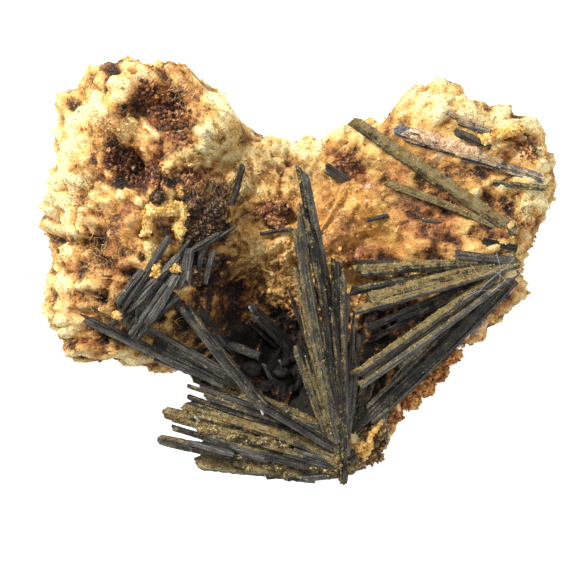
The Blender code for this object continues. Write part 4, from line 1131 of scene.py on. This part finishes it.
# %% Granule finish
def granule_finish(name, stops, rough, shine=0.5):
    """A finish for loose granules: a ramp of shades picked by each grain's own shade."""
    finish = Finish(name)
    place = finish.place()
    grit = finish.noise(place, 0.35, 2.0, 0.6)
    speck = finish.noise(place, 1.4, 2.0, 0.6)
    level = 0.5 + finish.attribute("shade") * 0.28 + (grit - 0.5) * 0.8 + (speck - 0.5) * 1.1
    colour = finish.node("ValToRGB", {"stops": stops}, {0: level})
    normal = finish.bump(grit, 0.7, 0.00012)
    rough_value = rough + (grit - 0.5) * 0.5
    return finish.set(Base_Color=colour, Roughness=rough_value, Specular_IOR_Level=shine,
                      Normal=normal)


dark_crust_look = granule_finish("dark_crust", table("""
    0.15 0.005 0.003 0.003; 0.42 0.032 0.018 0.011; 0.64 0.13 0.068 0.032
    0.88 0.42 0.25 0.11"""), 0.85)
mustard_look = granule_finish("mustard_crust", table("""
    0.1 0.04 0.026 0.01; 0.36 0.16 0.112 0.04; 0.6 0.36 0.26 0.095; 0.85 0.66 0.54 0.28"""), 0.85)
tuft_look = granule_finish("tuft_crust", table("""
    0.1 0.035 0.016 0.007; 0.36 0.15 0.075 0.022; 0.6 0.38 0.22 0.065; 0.88 0.7 0.53 0.24"""),
    0.80)
maroon_look = granule_finish("maroon_crust", table("""
    0.12 0.012 0.004 0.003; 0.36 0.09 0.027 0.013; 0.56 0.28 0.105 0.04; 0.84 0.62 0.36 0.15"""),
    0.60)

# %% Maroon grains in the vugs
# Vugs across and up, then their radius.
VUGS = table("""
    -30 36.4 2.4; -26.8 34 2.8; -24.4 31 2.8; -23.6 27.2 2; -34.8 22.4 3; -31.6 19.6 2.4
    -27.6 19.4 1.8; -20.6 19.2 1.8; 45.8 24.8 2.2; -4 11.4 2; 10.4 21 2; 24 -13 2.6
""")
VUG_GRAINS = 6500
vug_rng = np.random.default_rng(46)
apart = np.hypot(rock_places[:, :1] - VUGS[:, 0], rock_places[:, 1:2] - VUGS[:, 1])
weight = np.exp(-(apart / VUGS[:, 2]) ** 4).max(axis=1) * inner
picked = pick(weight, VUG_GRAINS, vug_rng)
vug_sizes = 0.12 + 0.55 * vug_rng.uniform(0.0, 1.0, VUG_GRAINS) ** 4
lit = 0.5 + 0.5 * lattice_noise(rock_places[picked] / 1.6, 96)
vug_marks = {"shade": 1.5 * lit - 0.9 + vug_rng.uniform(-0.4, 0.4, VUG_GRAINS)}
make_piece("vug_grains", [grains(rock_places[picked], rock_normals[picked], vug_sizes,
                                 vug_marks, vug_rng)], maroon_look)

# %% Height of the ground
GROUND_CELL = 0.5
GROUND_HALF = 56.0
ground_cells = np.zeros((int(2 * GROUND_HALF / GROUND_CELL),) * 2)
rock_cells = ((rock_places[:, :2] + GROUND_HALF) / GROUND_CELL).astype(int)
np.maximum.at(ground_cells, (rock_cells[:, 0], rock_cells[:, 1]), rock_places[:, 2])
ground_cells = np.max([np.roll(ground_cells, (across, up), (0, 1))
                       for across in (-1, 0, 1) for up in (-1, 0, 1)], axis=0)
print("ground map:", ground_cells.shape, "cells")


def ground_height(across, up):
    """The rock's height: its highest point in the nine half-millimetre cells about a spot."""
    column, row = (((values + GROUND_HALF) / GROUND_CELL).astype(int) for values in (across, up))
    return ground_cells[column, row]


# %% Dark crust on the lobe
# Heaps across and up, then their radius.
# The last two heaps lie in the gaps between the left cluster's blades, where the dark grains are
# painted shade.
DARK_MOUND = table("""
    -20.8 13.4 2.6; -17.4 10.8 3.4; -19.8 7.6 2.6; -15.6 13.2 2; -27.4 14.8 1.6; -15.2 8 1.8
    -22.4 9.8 1.6; -19.6 -0.6 2.2; -17 2.4 2
""")
MOUND_GRAINS, MOUND_SPREAD, MOUND_RISE = 7000, 1.6, 1.7
mound_rng = np.random.default_rng(41)
which = pick(DARK_MOUND[:, 2], MOUND_GRAINS, mound_rng)
spread = mound_rng.standard_normal((2 * MOUND_GRAINS, 2))
spread = 0.56 * spread[np.linalg.norm(spread, axis=1) < MOUND_SPREAD][:MOUND_GRAINS]
middle = DARK_MOUND[which, :2] + spread * DARK_MOUND[which, 2:]
heap = MOUND_RISE * np.exp(-(spread ** 2).sum(axis=1) * 1.4)
heap = heap * mound_rng.uniform(0.0, 1.0, MOUND_GRAINS)
settled = np.column_stack((middle, ground_height(middle[:, 0], middle[:, 1]) + heap - 0.1))
upward = np.tile((0.0, 0.0, 1.0), (MOUND_GRAINS, 1))
mound_sizes = 0.14 + 0.36 * mound_rng.uniform(0.0, 1.0, MOUND_GRAINS) ** 2
make_piece("dark_crust", [grains(
    settled, upward, mound_sizes, {"shade": mound_rng.uniform(-1.0, 1.0, MOUND_GRAINS)},
    mound_rng)], dark_crust_look)

# %% Mustard granules on the blades
COAT_GRAINS = 9000
coat_rng = np.random.default_rng(42)
coat_places, coat_outward, coat_cover = map(np.concatenate, zip(*coats))
clusters = 0.5 + 0.5 * lattice_noise(coat_places / 2.2, 95)
# The granules follow the coat, so they too lean to the sides facing the key lamp.
weight = coat_cover ** 2 * clusters ** 3
picked = pick(weight, COAT_GRAINS, coat_rng)
coat_sizes = 0.08 + 0.14 * coat_rng.uniform(0.0, 1.0, COAT_GRAINS) ** 2
jitter = coat_rng.uniform(-0.25, 0.25, (COAT_GRAINS, 3))
jitter -= coat_outward[picked] * np.sum(jitter * coat_outward[picked], axis=1)[:, None]
make_piece("mustard_granules", [grains(
    coat_places[picked] + jitter, coat_outward[picked], coat_sizes,
    {"shade": coat_rng.uniform(-1.0, 1.0, COAT_GRAINS)}, coat_rng, stand=0.1)],
    mustard_look)

# %% [markdown]
# Lumps, sticks and hairs
#
# A few things are neither rock nor blade: crust that clogs the foot, the tuft and the pale bundle,
# crumbling orange rock, a stick, a cup, a ridge and bits of yellow ochre, rounded black lumps in
# the hollow, brown hairs and fibres on the rock, and lint. A lump is a ball whose points noise
# pushes in or out. The rest are tubes along a smooth curve, and grains roughen the crusts.


# %% Lump and tube formulas
LUMP_ROWS, LUMP_COLUMNS = 22, 36


def lump(middle, radii, seed, shade, rough, size):
    """A ball stretched to three radii, each point scaled by 1 + rough * noise(place / size)."""
    rise = np.linspace(-math.pi / 2, math.pi / 2, LUMP_ROWS + 2)[1:-1, None]
    bearing = np.arange(LUMP_COLUMNS) * 2 * math.pi / LUMP_COLUMNS
    ball = np.stack(np.broadcast_arrays(np.cos(rise) * np.cos(bearing),
                                        np.cos(rise) * np.sin(bearing), np.sin(rise)), axis=-1)
    ball = np.concatenate(([(0, 0, -1)], ball.reshape(-1, 3), [(0, 0, 1)])) * radii
    push = 1 + rough * lattice_noise((ball + middle) / size, seed)
    push += 0.5 * rough * lattice_noise((ball + middle) / (0.4 * size), seed + 1)
    quads, fans = grid_faces(LUMP_ROWS, LUMP_COLUMNS)
    return {"points": middle + ball * push[:, None], "quads": quads, "fans": fans,
            "outward": ball / np.linalg.norm(ball, axis=1)[:, None],
            "marks": {"shade": np.full(len(ball), shade)}}


def lumps(rows, seed, shade, rough, size, apart=2):
    """A lump for each row of a table: its middle, then its radii. Seeds are so far apart."""
    return [lump(row[:3], row[3:], seed + apart * step, shade, rough, size)
            for step, row in enumerate(rows)]


def curve(knots, count):
    """A smooth path through its knots: each stretch is a Catmull-Rom cubic."""
    padded = np.concatenate(([2 * knots[0] - knots[1]], knots, [2 * knots[-1] - knots[-2]]))
    where = np.linspace(0.0, len(knots) - 1.000001, count)
    first = where.astype(int)
    t = (where - first)[:, None]
    a, b, c, d = (padded[first + step] for step in range(4))
    return 0.5 * (2 * b + (c - a) * t + (2 * a - 5 * b + 4 * c - d) * t ** 2
                  + (3 * b - a - 3 * c + d) * t ** 3)


def tube(path, radii, shade, columns, rough=0.0, seed=0):
    """Rings about a path: place = path(v) + radius(v) * (side cos u + over sin u)."""
    ahead = np.gradient(path, axis=0)
    ahead /= np.linalg.norm(ahead, axis=1)[:, None]
    side = np.cross(ahead, (0.13, 0.21, 0.97))
    side /= np.linalg.norm(side, axis=1)[:, None]
    over = np.cross(side, ahead)
    bearing = (np.arange(columns) * 2 * math.pi / columns)[None, :, None]
    ring = (side[:, None] * np.cos(bearing) + over[:, None] * np.sin(bearing))
    points = path[:, None] + ring * radii[:, None, None]
    push = rough * lattice_noise(points.reshape(-1, 3) / 0.9, seed).reshape(len(path), columns, 1)
    points = points + ring * push
    points = np.concatenate(([path[0]], points.reshape(-1, 3), [path[-1]]))
    quads, fans = grid_faces(len(path), columns)
    outward = np.concatenate(([-ahead[0]], ring.reshape(-1, 3), [ahead[-1]]))
    return {"points": points, "quads": quads, "fans": fans, "outward": outward,
            "marks": {"shade": np.full(len(points), shade)}}


def gritted(parts, count, sizes, rng):
    """The parts, and grains half sunk in their surfaces, with sizes from the least to the most."""
    places = np.concatenate([part["points"] for part in parts])
    outward = np.concatenate([part["outward"] for part in parts])
    picked = rng.integers(0, len(places), count)
    low, high = sizes
    radii = low + (high - low) * rng.uniform(0.0, 1.0, count) ** 2
    marks = {"shade": rng.uniform(-1.0, 1.0, count)}
    jitter = rng.normal(0.0, 0.08, (count, 3))
    return parts + [grains(places[picked] + jitter, outward[picked], radii, marks, rng)]


def on_rock(rows, lift):
    """The rows with a third number put in: the rock's height at their first two, plus lift."""
    heights = ground_height(rows[:, 0], rows[:, 1]) + lift
    return np.column_stack((rows[:, :2], heights, rows[:, 2:]))


def laid(spots, count, lift):
    """A path that follows the rock: smooth in plan, its heights a mean over a few millimetres."""
    path = on_rock(curve(spots, count), lift)
    span = max(2, count // 12)
    padded = np.pad(path[:, 2], span, mode="edge")
    path[:, 2] = np.convolve(padded, np.full(2 * span + 1, 1 / (2 * span + 1)), mode="valid")
    return path


# %% Crust on the foot and the tuft
# A row of a table of lumps is a lump's middle, across, up and high, then its three radii.
FOOT_LUMPS = table("""
    4.8 -38.4 15.8 2.6 1.7 1.5; 7.4 -39.2 16.2 1.8 1.7 2; 6 -36.2 17.2 1.9 1.2 1.4
    8.2 -37.2 18.4 1.2 1.6 1.6; 2 -37.4 15.4 2.4 1.2 1.2; -2.4 -39.8 13.8 2.6 1.2 1.2
    -9 -36.8 14.6 3.2 1 1.1; 10.6 -39 16 1.3 1.4 1.8; 9.4 -41 15.6 0.9 1.2 1.4
    -6.4 -33.6 17.4 2.2 0.9 0.8; -3.2 -34.6 17.6 2 0.8 0.8; -4.4 -38.6 15.6 2.2 0.8 0.8
    -17.4 -31.4 15.8 2.2 0.9 0.7; -12 -32.4 16.6 1.6 0.8 0.7
""")
TUFT_LUMPS = table("""
    12.6 -35.6 14.2 2.2 2.2 2.4; 15.2 -36.4 13 2.2 1.8 2.2; 16.4 -33.4 13.6 2 2.2 2.4
    13.4 -32.2 14.6 1.8 1.9 2.2; 17.4 -30.4 13.8 1.4 1.9 2.2; 11.6 -38 14.2 1.6 1.4 1.8
""")
crust_rng = np.random.default_rng(43)
make_piece("foot_crust", gritted(lumps(FOOT_LUMPS, 60, -0.9, 0.34, 0.9), 2200, (0.10, 0.32),
                                 crust_rng), mustard_look)
make_piece("tuft_crust", gritted(lumps(TUFT_LUMPS, 90, -1.2, 0.36, 1.0), 1400, (0.14, 0.50),
                                 crust_rng), tuft_look)

# %% Crust on the pale bundle
PALE_PATH = table("23.6 27.5; 27 26.4; 30.4 25.3; 34.6 23.9")
PALE_LUMPS = 12
PALE_RADII = (2.3, 1.35, 1.0)
PALE_HEIGHT, PALE_FALL = 27.1, 0.08
pale_look = granule_finish("pale_crust", table("""
    0.1 0.2 0.095 0.045; 0.36 0.46 0.275 0.15; 0.58 0.7 0.49 0.3; 0.86 0.88 0.74 0.52"""), 0.85)
pale_middles = np.column_stack((curve(PALE_PATH, PALE_LUMPS),
                                PALE_HEIGHT - PALE_FALL * np.arange(PALE_LUMPS)))
pale_rows = np.column_stack((pale_middles, np.tile(PALE_RADII, (PALE_LUMPS, 1))))
make_piece("pale_crust", gritted(lumps(pale_rows, 160, 0.0, 0.22, 1.4), 1600, (0.05, 0.17),
                                 crust_rng), pale_look)

# %% Orange rock at the right edge
RUST_LUMPS = table("""
    25.2 -22.4 9.6 2.8 2.4 3.6; 21.8 -25.4 9.2 2.6 2.2 3.6; 28.2 -19.4 10.2 2.6 2.2 3.8
    19 -28.2 9 2.2 2 3.2; 23.6 -22.2 11.6 2.6 2 2; 27 -18.6 12 2.4 2 2.2; 20.6 -24.4 11.4 2.2 2 2
    31 -16.8 11.6 2.4 1.8 3.2; 18.8 -28.4 12.4 2 1.8 2.2; 17.6 -30.4 11 1.6 1.5 2
""")
rust_look = granule_finish("rust_crust", table("""
    0.12 0.06 0.02 0.006; 0.36 0.24 0.075 0.016; 0.58 0.52 0.215 0.045; 0.86 0.84 0.56 0.2"""),
    0.80)
make_piece("rust_crust", gritted(lumps(RUST_LUMPS, 180, 0.0, 0.36, 1.5), 2600, (0.12, 0.50),
                                 crust_rng), rust_look)

# %% Yellow stick, cup, ridge and bits
yellow_look = granule_finish("yellow_ochre", table("""
    0.1 0.28 0.115 0.02; 0.36 0.58 0.3 0.055; 0.6 0.84 0.53 0.15; 0.88 0.93 0.76 0.38"""), 0.85)
# The stick's knots are across, up and high. The cup's and the ridge's, across and up, follow the
# rock. So do the patches, whose other three numbers are radii.
STICK = table("16.4 -28.2 17.8; 16.2 -30.4 17.8; 15 -32.6 17.8; 14.6 -34.6 17.2; 13.2 -36.8 16.6")
CUP = table("""
    -29.8 7.4; -29.6 10.6; -28.6 12.8; -26 12.6; -23.6 13.2; -22.9 11.4; -23.2 8.8; -23.2 6.8
""")
RIDGE = table("36.8 26.4; 39.4 27.2; 42.2 28.2; 45.2 29")
PATCHES = table("""
    12.8 -34.8 0.9 1 0.9; 29.6 -13.6 1.5 1 0.8; -28 1.2 1.2 1.4 0.8; -24 1.6 1.1 1.1 0.8
""")
CLUSTER_BITS = table("""
    -28 0.4 28 0.8 1.5 0.6; -24.2 0.8 27.5 1 0.7 0.6; -35.7 -8.5 26.4 0.9 0.7 0.6
""")
STICK_RINGS, CUP_RINGS, RIDGE_RINGS, STICK_SIDES = 30, 90, 40, 14
stick_width = 0.62 + 0.2 * np.sin(np.linspace(0.0, 9.0, STICK_RINGS))
cup_width = (0.45 + 0.85 * np.sin(np.linspace(0.4, math.pi - 0.4, CUP_RINGS))
             + 0.22 * np.sin(np.linspace(0.0, 31.0, CUP_RINGS)))
ridge_width = 0.95 + 0.3 * np.sin(np.linspace(0.0, 11.0, RIDGE_RINGS))
sticks = [tube(curve(STICK, STICK_RINGS), stick_width, -0.2, STICK_SIDES, 0.22, 51),
          tube(laid(CUP, CUP_RINGS, 0.9), cup_width, 0.4, STICK_SIDES, 0.55, 52),
          tube(laid(RIDGE, RIDGE_RINGS, 0.0), ridge_width, 0.3, STICK_SIDES, 0.30, 53)]
bits = (lumps(on_rock(PATCHES, -0.1), 120, -0.2, 0.3, 0.8, 1)
        + lumps(CLUSTER_BITS, 200, -1.1, 0.3, 0.8))
make_piece("yellow_ochre", gritted(sticks + bits, 3600, (0.10, 0.42), crust_rng),
           yellow_look)

# %% Black lumps in the hollow
# They lie on the rock: across, up and three radii.
BLACK_LUMPS = table("""
    -8.8 -19 2.2 1.5 1.8; -3 -20.2 1.7 1.2 1.5; -12.4 -20.4 1.6 1.2 1.3; -6 -22.6 1.6 1.2 1.3
""")
black_look = granule_finish("black_lump", table("""
    0.15 0.003 0.003 0.003; 0.5 0.01 0.009 0.008; 0.8 0.034 0.03 0.026"""),
    0.75, 0.25)
make_piece("black_lumps", lumps(on_rock(BLACK_LUMPS, 0.7), 140, 0.0, 0.22, 1.5), black_look,
           smooth=True)


# %% Hairs and fibres
HAIR_RINGS = 6
HAIRS, HAIR_MIDDLE, HAIR_SPREAD = 150, np.array((-16.0, 15.4)), (3.0, 1.3)


def hair(start, lean, reach, rise, thick, rng):
    """A tapering hair whose foot is on the rock, bowed up in the middle by rise."""
    end = start + reach * np.array((math.cos(lean), math.sin(lean)))
    base, top = on_rock(np.array((start, end)), 0.0)
    middle = (base + top) / 2 + (*rng.normal(0.0, 0.2, 2), 0.0)
    top[2] = np.clip(top[2], base[2] - 0.8, base[2] + 0.8) + rng.uniform(0.0, rise)
    middle[2] = (base[2] + top[2]) / 2 + rise
    path = curve(np.array((base, middle, top)), HAIR_RINGS)
    return tube(path, np.linspace(thick, 0.35 * thick, HAIR_RINGS), rng.uniform(-0.8, 1.0), 4)


hair_rng = np.random.default_rng(44)
hairs = [hair(HAIR_MIDDLE + hair_rng.normal(0.0, 1.0, 2) * HAIR_SPREAD,
              math.radians(hair_rng.uniform(20.0, 150.0)), hair_rng.uniform(1.2, 3.4), 0.5, 0.085,
              hair_rng) for _ in range(HAIRS)]
make_piece("crust_hairs", hairs, dark_crust_look)

# Fibres of brown and golden crust: across, up, how far they spread and how many.
FIBRE_FIELDS = table("""
    -40 3 4.5 110; -36 -8 5 110; -42 16 5 80; -37 29 4.5 80; -22 36 3.6 60; -14 27 4.5 60
    -27 -10 5 60; 38 27 4.5 40; 45 12 3.6 40; -8 3 4.5 40; 41 -5 3 40
""")
LEAST_FIBRE_HEIGHT = 12.0
fibre_look = granule_finish("fibre", table("""
    0.15 0.11 0.052 0.018; 0.45 0.29 0.15 0.045; 0.7 0.55 0.33 0.105; 0.92 0.82 0.62 0.29"""), 0.85)
roots = np.concatenate([hair_rng.normal((across, up), 0.5 * spread, (int(count), 2))
                        for across, up, spread, count in FIBRE_FIELDS])
roots = roots[ground_height(roots[:, 0], roots[:, 1]) > LEAST_FIBRE_HEIGHT]
fibres = [hair(root, hair_rng.uniform(0.0, 2 * math.pi), hair_rng.uniform(0.8, 2.4), 0.25, 0.075,
               hair_rng) for root in roots]
make_piece("rock_fibres", fibres, fibre_look)

# %% Lint
# A line is one thread: its knots, each across, up and high.
LINT = """
    34.8 1.6 27.2; 36.8 -0.6 27.6; 39.4 0.4 27.4; 42.4 -2.2 25.8
    36 -4.2 26; 38.4 -1.6 27; 41.6 1 27.2; 43.4 3 27
    33 -5.6 25.2; 36.4 -3.6 26.2; 39.4 -3.4 25.6; 42.6 -0.4 26.2
    39.8 4 27.4; 40.6 0.8 27.4; 40.2 -2.4 26.2; 38.2 -4.6 25
    24.6 -14 21.8; 29 -9.4 23.4; 32.6 -5.2 24.8; 35.6 -3.6 25.8
    15.8 -25.8 18.6; 17.4 -28.4 17.8; 18.6 -32.4 16.6; 18.2 -35.4 15.4
    16.6 -25 18.4; 18.4 -27 18; 18 -30 17.4
"""
lint_look = Finish("lint").set(Base_Color=(0.50, 0.49, 0.47, 1.0), Roughness=0.7)
lint_radii = np.full(40, 0.034)
make_piece("lint", [tube(curve(table(path), len(lint_radii)), lint_radii, 0.0, 5)
                    for path in LINT.strip().splitlines()], lint_look)

# %% Clear crystals
# A row is the tip, the foot and the width.
CLEAR_CRYSTALS = table("""
    -20.4 -28.6 17.4 -19.4 -29.6 15.6 1.1; -18.6 -28.4 17.2 -18.2 -29.8 15.4 0.8
    -17.2 -29 17.2 -17.4 -30.2 15.4 0.9; -9.6 -35.4 16.4 -9 -37 14.6 0.9
    -8 -35.2 16.6 -8.2 -36.8 14.8 0.8; -13 -34.8 16 -12.6 -36 14.2 0.7
    -9.4 -6.6 18.6 -8.8 -7.6 16.8 1; -3.4 -17.4 9.8 -3 -18.4 7 0.9
    -7 -27 26.4 -6.6 -28.2 24.6 0.8
""")
clear_look = Finish("clear_quartz").set(Base_Color=(0.62, 0.64, 0.62, 1.0), Roughness=0.12,
                                        Coat_Weight=0.6)
clear_rng = np.random.default_rng(45)
make_piece("clear_crystals", [
    rod(np.array(ends[:3]), np.array(ends[3:]), np.array((1.0, 0.2, 0.0)), 0.6 * width,
        0.6 * width, 0.0, clear_rng, 0.5, 0.4) for *ends, width in CLEAR_CRYSTALS],
    clear_look)
